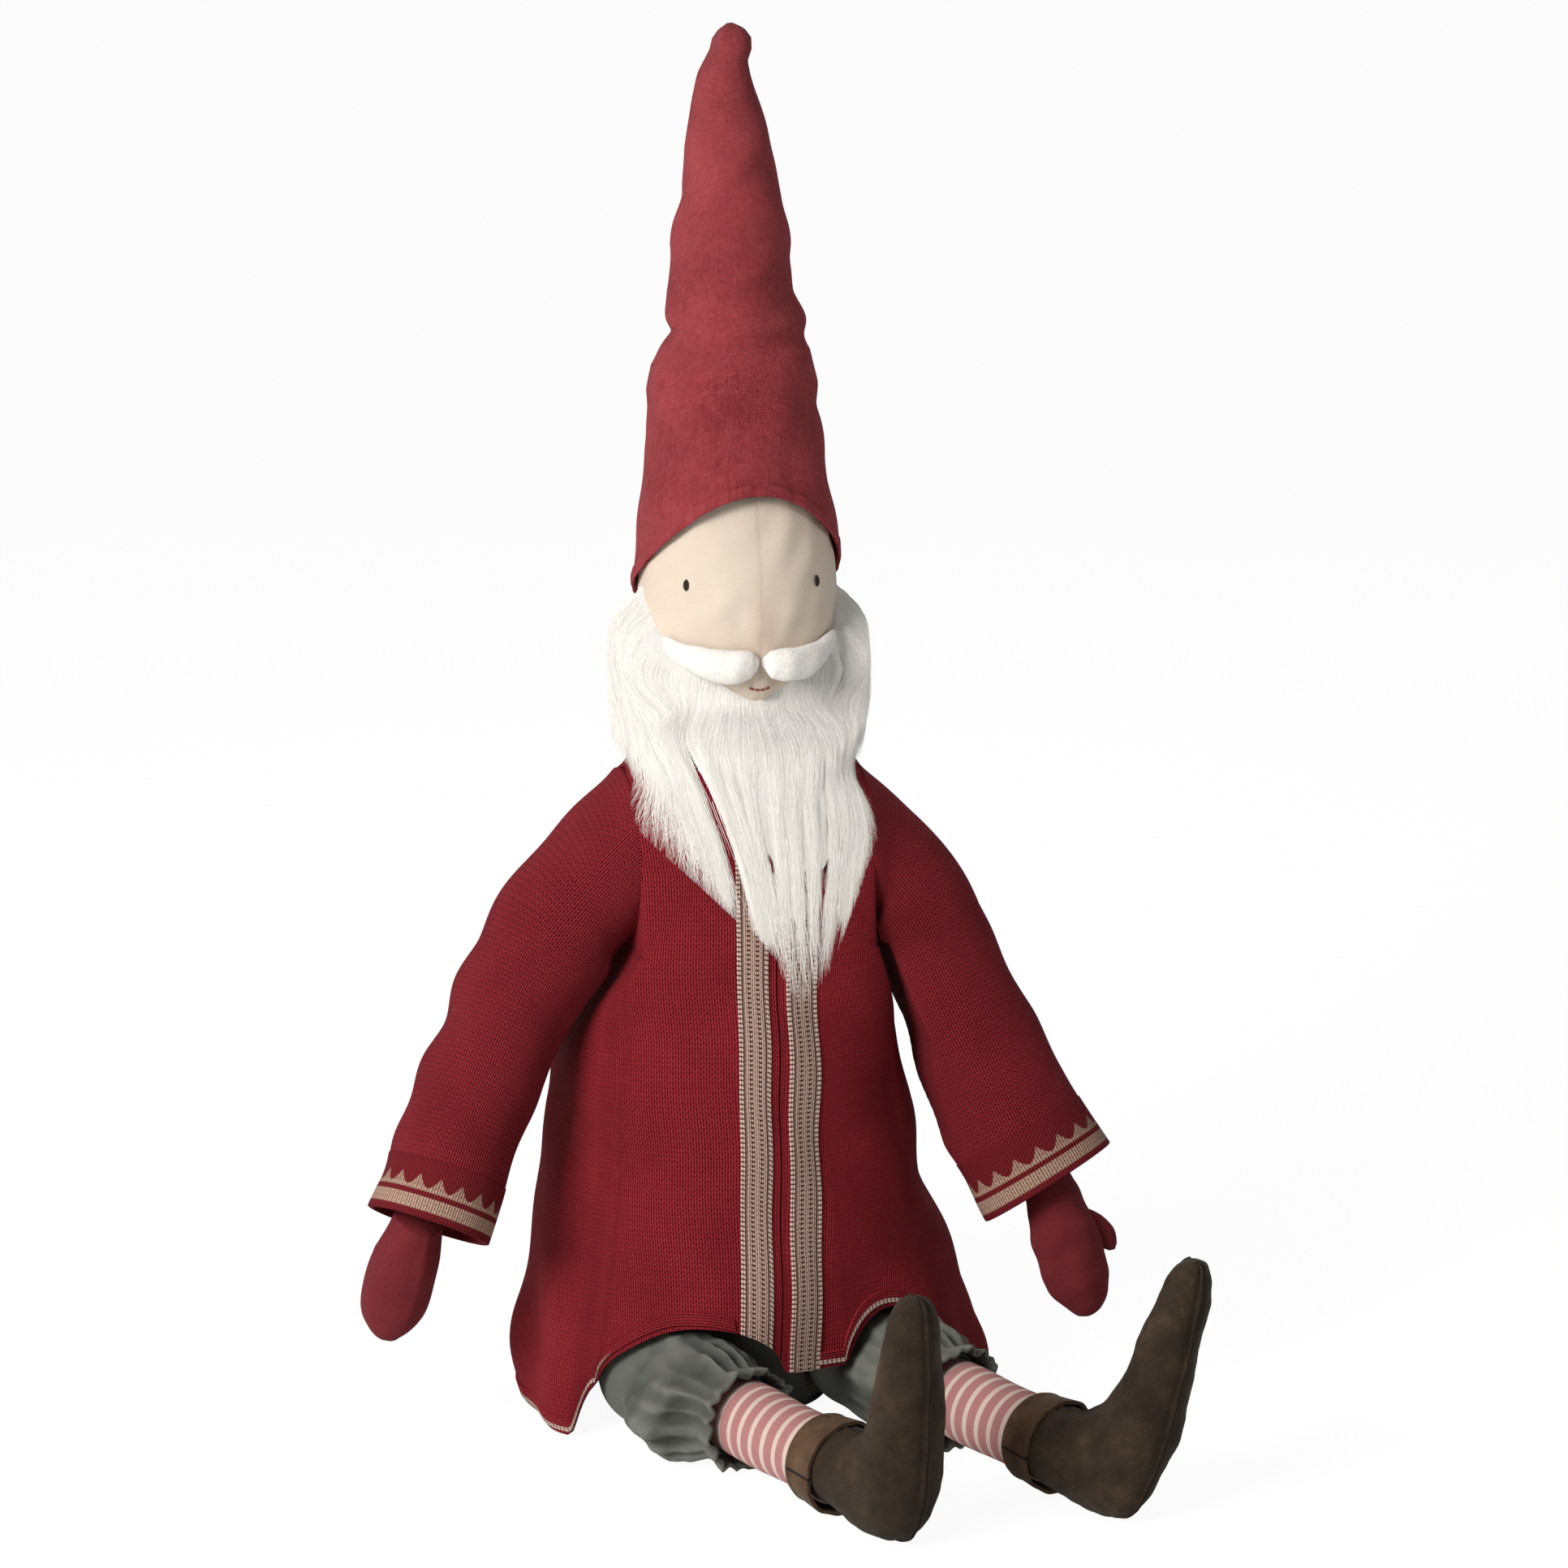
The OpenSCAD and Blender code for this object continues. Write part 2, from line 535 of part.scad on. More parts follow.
// Torso: a stuffed round form that narrows to the neck, with hollows where the thighs turn
torso_top = neck_z - 0.2;
function torso_outline(out) = [[0, seat_bottom - out], [seat_r * 0.8 + out, seat_bottom - out],
    [seat_r * 0.95 + out, seat_bottom + 8], [seat_r + out, 38], [seat_r - 2 + out, 100],
    [chest_r + 4 + out, 180], [chest_r + out, 235],
    [chest_r - 8 + out, shoulder_z + 8], [neck_r + 4 + out, neckline_z - 8],
    [neck_r + 1 + out, neckline_z + 8],
    [neck_r + out, torso_top + out], [0, torso_top + out]];
socket_r = breeches_r + 3.6;
module thigh_space(grow) {
    for (side = [RIGHT, LEFT]) translate([hip(side)[0], hip(side)[1], hip_z]) {
        sphere(r = socket_r + grow);
        rotate([0, 180 - leg_turn, 0]) cylinder(r = socket_r + grow, h = 3 * hip_z);
    }
}
module thread_hole(r, z, y) {
    translate([-2 * hem_half, y, z]) rotate([0, 90, 0]) cylinder(r = r, h = 4 * hem_half);
}
module torso_form(out) {
    difference() {
        rotate_extrude() polygon(torso_outline(out));
        thigh_space(-out);
    }
}
module strung(r) {
    difference() {
        children();
        thread_hole(r, shoulder_z, 0);
        thread_hole(r, hip_z, -hip_y);
    }
}
snug = 0.05;
module torso_cover() {
    color(inner_cloth) strung(thread_r + snug) difference() {
        torso_form(0);
        torso_form(-cover_t);
    }
}
weight_bottom = seat_bottom + cover_t + fill_gap + 3;
module weight_form(out) {
    translate([0, 0, weight_bottom]) rotate_extrude()
        polygon([[0, -out], [weight_r - 4 + out, -out], [weight_r + out, weight_h * 0.3],
            [weight_r - 3 + out, weight_h * 0.8], [4 + out, weight_h + out], [0, weight_h + out]]);
}
module torso_stuffing() {
    color(wool) strung(thread_r + snug) difference() {
        torso_form(-cover_t - fill_gap);
        weight_form(2 * fill_gap);
    }
}
module seat_weight_bag() { color(linen) weight_form(0); }

module breeches_seat() {
    color(velvet) strung(thread_r + snug) difference() {
        intersection() {
            rotate_extrude() polygon(torso_outline(cover_t + fill_gap));
            cylinder(r = 2 * seat_r, h = waist_z);
        }
        rotate_extrude() polygon(torso_outline(fill_gap));
        thigh_space(0);
    }
}

module shoulder_thread() {
    color("ivory") thread_between(-armhole_x - 22, armhole_x + 22, 0, shoulder_z);
}
module hip_thread() {
    reach = leg_r - 4;
    color("ivory") thread_between(hip(RIGHT)[0] - reach, hip(LEFT)[0] + reach, -hip_y, hip_z);
}
module thread_between(from, to, y, z) {
    translate([from, y, z]) rotate([0, 90, 0]) cylinder(r = thread_r, h = to - from);
}

// Arms: a sleeve follows a curve from the armhole to the cuff, and the stuffed arm runs straight inside it
function reach(side) = side < 0 ? right_reach : left_reach;
function forward(side) = side < 0 ? right_forward : left_forward;
function sleeve_start(side) = [side * (armhole_x + armhole_gap), 0, shoulder_z];
function sleeve_end(side) = sleeve_start(side) + [side * reach(side), -forward(side), -cuff_drop];
// Shares of the reach and the drop that the two ends of a sleeve's curve run straight: right, then left
lead_share = [[0.5, 0.28], [0.34, 0.22]];
trail_share = [0.253, 0.4];
function sleeve_knots(side) = let (a = sleeve_start(side), b = sleeve_end(side), i = side < 0 ? 0 : 1,
    lead = [side * reach(side) * lead_share[i][0], -forward(side) * 0.15, -cuff_drop * lead_share[i][1]],
    trail = [side * reach(side) * trail_share[i], -forward(side) * 0.4, -cuff_drop * 0.36])
    [a, a + lead, b - trail, b];
function bezier(k, s) = let (u = 1 - s) u * u * u * k[0] + 3 * u * u * s * k[1]
    + 3 * u * s * s * k[2] + s * s * s * k[3];
function bezier_way(k, s) = let (u = 1 - s)
    unit(u * u * (k[1] - k[0]) + 2 * u * s * (k[2] - k[1]) + s * s * (k[3] - k[2]));
function sleeve_way(side, s) = unit(lerp([side, 0, 0], bezier_way(sleeve_knots(side), s), ease(s * 3)));
sleeve_radii = [[0, armhole_r], [0.15, armhole_r - 5.5], [0.35, cuff_r + 0.8],
    [0.6, cuff_r - 1], [1, cuff_r]];
sleeve_columns = 18;
// The nearest that a sleeve comes to the figure's middle, at one level, so that it lies beside the coat
// The coat is wider lower down, and the sleeve swings over that part too
swing_room = 6;
function sleeve_inner(side, z) = z < armpit_z
    ? coat_limit(z - swing_room) + side * coat_middle(z) + sleeve_gap
    : lerp(armhole_x + sleeve_gap, armhole_x + armhole_gap, clamp((z - armpit_z) / 16, 0, 1));
function beside_coat(p, side, s, out) = let (x = side * p[0])
    [s == 0 ? p[0] : side * max(x, sleeve_inner(side, p[2]) - out), p[1], p[2]];
function flat_share(side, s) = lerp(1, side < 0 ? right_flat : left_flat, ease(s * 2));
function sleeve_ring(side, s, out) = let (
    n = sleeve_way(side, s),
    p = unit([0, 1, 0] - n[1] * n),
    q = cross(n, p),
    r = lookup(s, sleeve_radii),
    wide = r * flat_share(side, s) + out,
    deep = r * (2 - flat_share(side, s)) + out,
    c = bezier(sleeve_knots(side), s))
    [for (k = [0:sleeve_columns - 1]) let (a = 360 * k / sleeve_columns)
        beside_coat(c + deep * cos(a) * p + wide * sin(a) * q, side, s, out)];
cuff_from = 0.84;
sleeve_stops = [0, 0.08, 0.18, 0.32, 0.48, 0.66, cuff_from, 1];
module sleeve(side) {
    color(knit_red) sleeve_of([for (s = sleeve_stops) sleeve_ring(side, s, 0)],
        [for (s = sleeve_stops) sleeve_ring(side, s, -knit_t)]);
}
module right_sleeve() { sleeve(RIGHT); }
module left_sleeve() { sleeve(LEFT); }

function sleeve_length(side) = norm(sleeve_end(side) - sleeve_start(side));
// A ring on the straight last part of a sleeve
function cuff_ring(side, s, out) =
    let (a = sleeve_ring(side, cuff_from, out), b = sleeve_ring(side, 1, out))
    [for (k = [0:sleeve_columns - 1]) lerp(a[k], b[k], (s - cuff_from) / (1 - cuff_from))];
cuff_hem = 4;
module cuff_band(side) {
    stops = [1 - (cuff_hem + cuff_band_h) / sleeve_length(side), 1 - cuff_hem / sleeve_length(side)];
    color(trim) sleeve_of([for (s = stops) cuff_ring(side, s, band_gap + band_t)],
        [for (s = stops) cuff_ring(side, s, band_gap)]);
}
module right_cuff_band() { cuff_band(RIGHT); }
module left_cuff_band() { cuff_band(LEFT); }

arm_root_in = 14;
// The root is a little fuller than the arm, where the stuffing is pushed in
arm_root_r = arm_r + 0.8;
mitten_in = 4;
wrist_gap = 9.5;
function arm_start(side) = sleeve_start(side) + [side * arm_root_in, 0, 0];
function arm_way(side) = unit(sleeve_end(side) - arm_start(side));
hand_out = 6;
function wrist(side) = sleeve_end(side) - arm_way(side) * mitten_in - [side < 0 ? hand_out : 0, 0, 0];
module along(way) {
    rotate([0, acos(way[2]), atan2(way[1], way[0])]) children();
}
module arm(side) {
    l = norm(wrist(side) - arm_start(side)) - wrist_gap;
    color(linen) difference() {
        translate(arm_start(side)) {
            sphere(r = arm_root_r);
            along(arm_way(side)) cylinder(r1 = arm_r, r2 = arm_r - 2, h = l);
        }
        thread_hole(thread_r + thread_gap, shoulder_z, 0);
    }
}
module right_arm() { arm(RIGHT); }
module left_arm() { arm(LEFT); }

// Mitten: a stuffed felt hand with a thumb; each row is length share, width share and thickness share
mitten_rows = [[0, 0.72, 0.7], [0.16, 0.8, 0.82], [0.42, 1, 1], [0.68, 1, 0.98], [0.86, 0.78, 0.76],
    [0.97, 0.42, 0.42], [1, 0.16, 0.14]];
thumb_rows = [[0.3, 0.5, 0.38], [0.38, 0.9, 0.42], [0.5, 1.2, 0.4], [0.6, 1.36, 0.3], [0.65, 1.42, 0.12]];
// The right hand hangs straight down and a little back, the left one runs on from its arm
function hand_way(side) = unit(side < 0 ? [-0.2, 0.36, -0.91] : arm_way(side) + [0, 0, -0.45]);
// The thumb's side: outward on the left hand, backward on the right one
function thumb_way(side) = let (n = hand_way(side), v = side > 0 ? [1, 0.1, 0] : [-0.3, 1, 0])
    unit(v - (v * n) * n);
function hand_ring(side, at, middle_out, w, t) = let (
    n = hand_way(side), p = thumb_way(side), q = cross(n, p),
    c = wrist(side) + n * at + p * middle_out)
    [for (k = [0:11]) c + w * cos(30 * k) * p + t * sin(30 * k) * q];
module mitten(side) {
    color(felt_red) union() {
        loft([for (m = mitten_rows)
            hand_ring(side, m[0] * mitten_l, 0, m[1] * mitten_half, m[2] * mitten_half)]);
        loft([for (m = thumb_rows) hand_ring(side, m[0] * mitten_l, m[1] * mitten_half * 0.92,
            m[2] * mitten_half,
            m[2] * mitten_half * 0.95)]);
    }
}
module right_mitten() { mitten(RIGHT); }
module left_mitten() { mitten(LEFT); }

// Legs: every piece is drawn along a leg that starts at the hip, with +Z along the leg and +Y up
module leg_place(side) {
    translate([hip(side)[0], hip(side)[1], hip_z]) rotate([90 + leg_slope, 0, leg_turn]) children();
}
sock_gap = 0.4;
breeches_columns = 24;
// Rows of a breeches leg: length from the hip, radius and fold depth
thigh_r = breeches_r - 0.6;
breeches_rows = [[0, thigh_r, 0], [18, thigh_r, 0.2], [40, thigh_r, 0.5],
    [breeches_l - 18, thigh_r - 0.8, 0.8],
    [breeches_l - 6, leg_r + 5, 1.2], [breeches_l, leg_r + 3.4, 1],
    [breeches_l + frill_l * 0.5, leg_r + 4.6, 1.5],
    [breeches_l + frill_l, leg_r + 4.8, 1.9]];
gathers = 6;
function breeches_ring(row) = [for (k = [0:breeches_columns - 1]) let (
    a = 360 * k / breeches_columns,
    r = row[1] + row[2] * cos(gathers * a))
    [r * cos(a), r * sin(a), row[0]]];
root_rows = [for (a = [70, 45, 22]) [-thigh_r * sin(a), thigh_r * cos(a), 0]];
module breeches_leg(side) {
    rows = concat(root_rows, breeches_rows);
    inner_start = -thigh_r * sin(35);
    color(velvet) leg_place(side) difference() {
        loft([for (r = rows) breeches_ring(r)]);
        translate([0, 0, inner_start])
            cylinder(r = leg_r + sock_gap, h = breeches_l + frill_l - inner_start + 1);
        translate([0, 0, breeches_l - elastic_r * 2]) rotate_extrude()
            translate([leg_r + sock_gap + elastic_r, 0]) circle(r = elastic_r + fill_gap);
        leg_thread();
    }
}
elastic_r = 1;
// The hole for the hip thread, in the place of a leg drawn along +Z
module leg_thread() {
    rotate([-90 - leg_slope, 0, 0]) rotate([0, 0, -leg_turn]) rotate([0, 90, 0])
        cylinder(r = thread_r + thread_gap, h = 4 * hem_half, center = true);
}
module right_breeches_leg() { breeches_leg(RIGHT); }
module left_breeches_leg() { breeches_leg(LEFT); }
module knee_elastic(side) {
    color("dimgray") leg_place(side) translate([0, 0, breeches_l - elastic_r * 2]) rotate_extrude()
        translate([leg_r + sock_gap + elastic_r, 0]) circle(r = elastic_r);
}
module right_knee_elastic() { knee_elastic(RIGHT); }
module left_knee_elastic() { knee_elastic(LEFT); }

ankle_at = boot_at + boot_cuff_l - 5;
module leg(side) {
    root = thigh_r * sin(35) - 0.6;
    color(stripe_pink) difference() {
        leg_place(side) translate([0, 0, -root]) cylinder(r = leg_r, h = ankle_at + root - fill_gap);
        thread_hole(thread_r + thread_gap, hip_z, -hip_y);
    }
}
module right_leg() { leg(RIGHT); }
module left_leg() { leg(LEFT); }

module boot_cuff(side) {
    flare = 2.6;
    color("#664e3b") leg_place(side) translate([0, 0, boot_at]) rotate_extrude() polygon([
        [leg_r + sock_gap, 0], [leg_r + sock_gap + boot_t, 0],
        [leg_r + sock_gap + boot_t + flare * 0.5, boot_cuff_l * 0.5],
        [leg_r + sock_gap + boot_t + flare, boot_cuff_l],
        [leg_r + sock_gap + flare, boot_cuff_l], [leg_r + sock_gap + flare * 0.3, boot_cuff_l * 0.5]]);
}
module right_boot_cuff() { boot_cuff(RIGHT); }
module left_boot_cuff() { boot_cuff(LEFT); }

// Boot: a stuffed foot whose toe points up; each row is a section from the instep to the sole
// with its lengths past the ankle, its heights above the heel and half of its width
foot_l = 60;
heel_y = -hip_z + ankle_at * sin(leg_slope) + 2.6;
boot_rows = [
    [[0, heel_y + 24 + leg_r - 1], [0, heel_y + 24 - leg_r + 1], leg_r - 0.4],
    [[14, heel_y + 42], [18, heel_y + 3], leg_r + 0.6],
    [[22, heel_y + 46], [38, heel_y], leg_r + 1.6],
    [[27, heel_y + 52], [53, heel_y + 6], leg_r + 1.2],
    [[31, heel_y + boot_h * 0.5], [foot_l, heel_y + boot_h * 0.22], leg_r],
    [[35, heel_y + boot_h * 0.63], [foot_l + 1, heel_y + boot_h * 0.45], leg_r - 2.4],
    [[39, heel_y + boot_h * 0.78], [foot_l, heel_y + boot_h * 0.7], leg_r - 5.2],
    [[43, heel_y + boot_h * 0.91], [foot_l - 2, heel_y + boot_h * 0.88], leg_r - 8.4],
    [[48, heel_y + boot_h], [foot_l - 6, heel_y + boot_h * 0.995], leg_r - 14]];
function toe_shift(side, y, past) = side < 0 ? 0
    : toe_lean * clamp((y - heel_y) / boot_h, 0, 1) * ease((past - 6) / 30);
function boot_ring(side, row) = let (m = (row[0] + row[1]) / 2, h = (row[0] - row[1]) / 2)
    [for (k = [0:15]) let (a = 22.5 * k, y = m[1] + h[1] * cos(a), past = m[0] + h[0] * cos(a))
        [row[2] * sin(a) + toe_shift(side, y, past), y, ankle_at + past]];
module boot(side) {
    color(leather) leg_place(side) loft([for (r = boot_rows) boot_ring(side, r)], true);
}
module right_boot() { boot(RIGHT); }
module left_boot() { boot(LEFT); }

torso_cover();
torso_stuffing();
seat_weight_bag();
breeches_seat();
shoulder_thread();
hip_thread();
head_right_panel();
head_left_panel();
head_stuffing();
right_eye();
left_eye();
mouth_stitch();
right_moustache();
left_moustache();
beard();
hat();
hat_stuffing();
coat_back();
coat_right_front();
coat_left_front();
right_front_band();
left_front_band();
hem_band();
neck_band();
right_sleeve();
right_cuff_band();
right_arm();
right_mitten();
left_sleeve();
left_cuff_band();
left_arm();
left_mitten();
right_breeches_leg();
right_knee_elastic();
right_leg();
right_boot();
right_boot_cuff();
left_breeches_leg();
left_knee_elastic();
left_leg();
left_boot();
left_boot_cuff();
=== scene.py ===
import bpy
import math
import numpy as np
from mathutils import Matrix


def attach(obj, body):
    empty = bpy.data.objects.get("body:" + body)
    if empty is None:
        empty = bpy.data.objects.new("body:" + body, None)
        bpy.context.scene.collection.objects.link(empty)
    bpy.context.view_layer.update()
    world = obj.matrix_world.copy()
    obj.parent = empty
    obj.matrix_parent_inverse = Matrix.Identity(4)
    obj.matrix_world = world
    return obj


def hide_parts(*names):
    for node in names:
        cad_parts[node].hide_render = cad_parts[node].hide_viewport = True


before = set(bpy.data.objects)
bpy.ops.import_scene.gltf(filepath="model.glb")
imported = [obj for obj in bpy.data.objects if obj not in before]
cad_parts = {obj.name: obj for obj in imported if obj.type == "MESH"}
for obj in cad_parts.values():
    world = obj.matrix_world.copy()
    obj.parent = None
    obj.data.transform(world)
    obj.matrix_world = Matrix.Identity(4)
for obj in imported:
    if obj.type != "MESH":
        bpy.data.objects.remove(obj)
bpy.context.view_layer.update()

# Camera, floor and light
# The figure sits on a pale studio floor and is seen from a little above, from the front and its right.
# One large soft lamp stands at the upper left, and a narrow one lifts the shaded side of the head.
def placed(name, data):
    """A new object in the scene."""
    thing = bpy.data.objects.new(name, data)
    bpy.context.collection.objects.link(thing)
    return thing


camera = placed("camera", bpy.data.cameras.new("camera"))
camera.data.lens = 94.72
camera.data.sensor_width = 36.0
camera.data.clip_start = 0.05
camera.data.clip_end = 300.0
camera.location = (-0.472, -1.892, 0.740)
camera.rotation_euler = (math.radians(77.49), 0.0, math.radians(-14.667))
bpy.context.scene.camera = camera
bpy.context.scene.view_settings.view_transform = "Standard"


def soft_lamp(name, place, target, size, power, tint):
    """A square soft box that points at a target."""
    lamp = bpy.data.lights.new(name, "AREA")
    lamp.size = size
    lamp.energy = power
    lamp.color = tint
    box = placed(name, lamp)
    box.location = place
    aim = np.array(target) - np.array(place)
    tilt = math.acos(-aim[2] / np.linalg.norm(aim))
    box.rotation_euler = (tilt, 0.0, math.atan2(aim[1], aim[0]) - math.pi / 2)
    return lamp


CHEST = (0.0, -0.03, 0.30)
soft_lamp("key_lamp", (-1.6, -1.1, 1.2), CHEST, 0.9, 47.0, (1.0, 0.985, 0.965))
soft_lamp("back_lamp", (0.5, 1.6, 1.5), CHEST, 1.2, 5.0, (1.0, 0.99, 0.98))
head_lamp = soft_lamp("head_lamp", (0.75, -0.9, 0.75), (0.0, -0.03, 0.40), 0.3, 0.07, (1.0, 0.99, 0.98))
head_lamp.spread = math.radians(28.0)

world = bpy.data.worlds.new("studio")
world.use_nodes = True
bpy.context.scene.world = world
sky = world.node_tree.nodes["Background"]
paths = world.node_tree.nodes.new("ShaderNodeLightPath")
seen = world.node_tree.nodes.new("ShaderNodeMath")
seen.operation = "MAXIMUM"
world.node_tree.links.new(paths.outputs["Is Camera Ray"], seen.inputs[0])
world.node_tree.links.new(paths.outputs["Is Glossy Ray"], seen.inputs[1])
level = world.node_tree.nodes.new("ShaderNodeMapRange")
level.inputs["To Min"].default_value = 0.21
level.inputs["To Max"].default_value = 1.0
world.node_tree.links.new(seen.outputs[0], level.inputs["Value"])
world.node_tree.links.new(level.outputs[0], sky.inputs["Strength"])
sky.inputs["Color"].default_value = (1.0, 1.0, 1.0, 1.0)

floor_mesh = bpy.data.meshes.new("floor")
reach = 90.0
corners = [(-reach, -reach, 0), (reach, -reach, 0), (reach, reach, 0), (-reach, reach, 0)]
floor_mesh.from_pydata(corners, [], [(0, 1, 2, 3)])
floor = placed("floor", floor_mesh)
floor_paint = bpy.data.materials.new("studio_floor")
floor_paint.use_nodes = True
tree = floor_paint.node_tree
matt = tree.nodes["Principled BSDF"]
matt.inputs["Base Color"].default_value = (0.86, 0.86, 0.86, 1.0)
matt.inputs["Roughness"].default_value = 0.9
glow = tree.nodes.new("ShaderNodeEmission")
glow.inputs["Color"].default_value = (1.0, 1.0, 1.0, 1.0)
glow.inputs["Strength"].default_value = 1.07
paths = tree.nodes.new("ShaderNodeLightPath")
share = tree.nodes.new("ShaderNodeMath")
share.operation = "MULTIPLY"
share.inputs[1].default_value = 0.88
mix = tree.nodes.new("ShaderNodeMixShader")
tree.links.new(paths.outputs["Is Camera Ray"], share.inputs[0])
tree.links.new(share.outputs[0], mix.inputs[0])
tree.links.new(matt.outputs[0], mix.inputs[1])
tree.links.new(glow.outputs[0], mix.inputs[2])
tree.links.new(mix.outputs[0], tree.nodes["Material Output"].inputs["Surface"])
floor_mesh.materials.append(floor_paint)

# Torso: a stuffed linen body with a bag of pellets in the seat, sewn shut at the neck
# All of it is under the clothes. Two waxed threads run through it and carry the arms and the legs.


class Wire:
    """A value in a node tree; arithmetic on it adds the nodes."""

    def __init__(self, tree, socket):
        self.tree = tree
        self.socket = socket

    def op(self, kind, *others):
        node = self.tree.nodes.new("ShaderNodeMath")
        node.operation = kind
        for slot, value in zip(node.inputs, (self,) + others):
            feed(self.tree, value, slot)
        return Wire(self.tree, node.outputs[0])

    def __add__(self, other):
        return self.op("ADD", other)

    def __sub__(self, other):
        return self.op("SUBTRACT", other)

    def __mul__(self, other):
        return self.op("MULTIPLY", other)

    def __truediv__(self, other):
        return self.op("DIVIDE", other)

    def part(self):
        return self.op("FRACT")

    def whole(self):
        return self.op("FLOOR")

    def away(self, middle):
        return (self - middle).op("ABSOLUTE")

    def wave(self):
        return (self * (2 * math.pi)).op("SINE")

    def root(self):
        return self.op("MAXIMUM", 0.0).op("SQRT")

    def step(self, low, high):
        node = self.tree.nodes.new("ShaderNodeMapRange")
        node.interpolation_type = "SMOOTHSTEP"
        feed(self.tree, self, node.inputs["Value"])
        feed(self.tree, low, node.inputs["From Min"])
        feed(self.tree, high, node.inputs["From Max"])
        return Wire(self.tree, node.outputs[0])

    def drop(self, low, high):
        return self.step(low, high) * -1.0 + 1.0

    def axis(self, name):
        node = self.tree.nodes.new("ShaderNodeSeparateXYZ")
        feed(self.tree, self, node.inputs[0])
        return Wire(self.tree, node.outputs[name])

    def scaled(self, x, y, z):
        node = self.tree.nodes.new("ShaderNodeVectorMath")
        node.operation = "MULTIPLY"
        feed(self.tree, self, node.inputs[0])
        node.inputs[1].default_value = (x, y, z)
        return Wire(self.tree, node.outputs[0])

    def noise(self, scale, detail=2.0, rough=0.5):
        node = self.tree.nodes.new("ShaderNodeTexNoise")
        feed(self.tree, self, node.inputs["Vector"])
        feed(self.tree, scale, node.inputs["Scale"])
        node.inputs["Detail"].default_value = detail
        node.inputs["Roughness"].default_value = rough
        return Wire(self.tree, node.outputs[0])


def feed(tree, value, slot):
    """Link a wire to a socket, or set the socket to a number or colour."""
    if isinstance(value, Wire):
        tree.links.new(value.socket, slot)
    else:
        slot.default_value = value


def effect(name, inputs, outputs):
    """A new shader node group, its inputs as wires, and the node that takes its outputs."""
    group = bpy.data.node_groups.new(name, "ShaderNodeTree")
    for label, kind, value in inputs:
        socket = group.interface.new_socket(label, in_out="INPUT", socket_type="NodeSocket" + kind)
        if value is not None:
            socket.default_value = value
    for label in outputs:
        group.interface.new_socket(label, in_out="OUTPUT", socket_type="NodeSocketFloat")
    start = group.nodes.new("NodeGroupInput")
    end = group.nodes.new("NodeGroupOutput")
    return group, [Wire(group, s) for s in start.outputs if s.name], end


def put_out(group, end, *wires):
    for wire, slot in zip(wires, end.inputs):
        feed(group, wire, slot)


# Plain weave: warp and weft threads that pass over each other in turn, and slubs along them
plain_weave, (place, pitch), end = effect(
    "plain_weave", [("Place", "Vector", None), ("Threads", "Float", 1.0)], ["Height", "Slub"])
across = place.axis("X") * pitch
along = place.axis("Y") * pitch
over = ((across.whole() + along.whole()) * 0.5).part() * 2.0
warp = (across.part() * 0.5).wave()
weft = (along.part() * 0.5).wave()
warp_slub = place.scaled(1.0, 0.09, 1.0).noise(pitch * 0.9)
weft_slub = place.scaled(0.09, 1.0, 1.0).noise(pitch * 0.9)
put_out(plain_weave, end, warp * over + weft * (over * -1.0 + 1.0), warp_slub * 0.5 + weft_slub * 0.5)

# Mottle: broad and fine unevenness of colour in dyed and worn cloth
mottle, (place, size), end = effect(
    "mottle", [("Place", "Vector", None), ("Size", "Float", 1.0)], ["Broad", "Fine"])
put_out(mottle, end, place.noise(size, 3.0), place.noise(size * 9.0, 3.0, 0.7))


class Finish:
    """A material with its Principled shader and the wires that its pattern starts from."""

    def __init__(self, name, roughness, sheen=0.0, weave=True):
        self.material = bpy.data.materials.new(name)
        self.material.use_nodes = True
        self.tree = self.material.node_tree
        self.shader = self.tree.nodes["Principled BSDF"]
        self.shader.inputs["Roughness"].default_value = roughness
        self.shader.inputs["Specular IOR Level"].default_value = 0.12
        self.shader.inputs["Sheen Weight"].default_value = sheen
        self.shader.inputs["Sheen Roughness"].default_value = 0.5
        spot = self.tree.nodes.new("ShaderNodeTexCoord")
        self.spot = Wire(self.tree, spot.outputs["Object"]).scaled(1000.0, 1000.0, 1000.0)
        self.place = self.spot
        if weave:
            cloth = self.tree.nodes.new("ShaderNodeAttribute")
            cloth.attribute_name = "weave"
            self.place = Wire(self.tree, cloth.outputs["Vector"])

    def use(self, group, *values):
        node = self.tree.nodes.new("ShaderNodeGroup")
        node.node_tree = group
        for slot, value in zip(node.inputs, values):
            feed(self.tree, value, slot)
        return [Wire(self.tree, s) for s in node.outputs]

    def blend(self, share, low, high):
        node = self.tree.nodes.new("ShaderNodeMix")
        node.data_type = "RGBA"
        feed(self.tree, share, node.inputs[0])
        feed(self.tree, low, node.inputs[6])
        feed(self.tree, high, node.inputs[7])
        return Wire(self.tree, node.outputs[2])

    def colour(self, wire):
        feed(self.tree, wire, self.shader.inputs["Base Color"])

    def bump(self, height, depth, strength=1.0):
        node = self.tree.nodes.new("ShaderNodeBump")
        node.inputs["Strength"].default_value = strength
        node.inputs["Distance"].default_value = depth * MM
        feed(self.tree, height, node.inputs["Height"])
        self.tree.links.new(node.outputs[0], self.shader.inputs["Normal"])


MM = 0.001


def dye(red, green, blue):
    """The linear colour of three display values from 0 to 255."""
    parts = [c / 255.0 for c in (red, green, blue)]
    return tuple(c / 12.92 if c <= 0.04045 else ((c + 0.055) / 1.055) ** 2.4 for c in parts) + (1.0,)


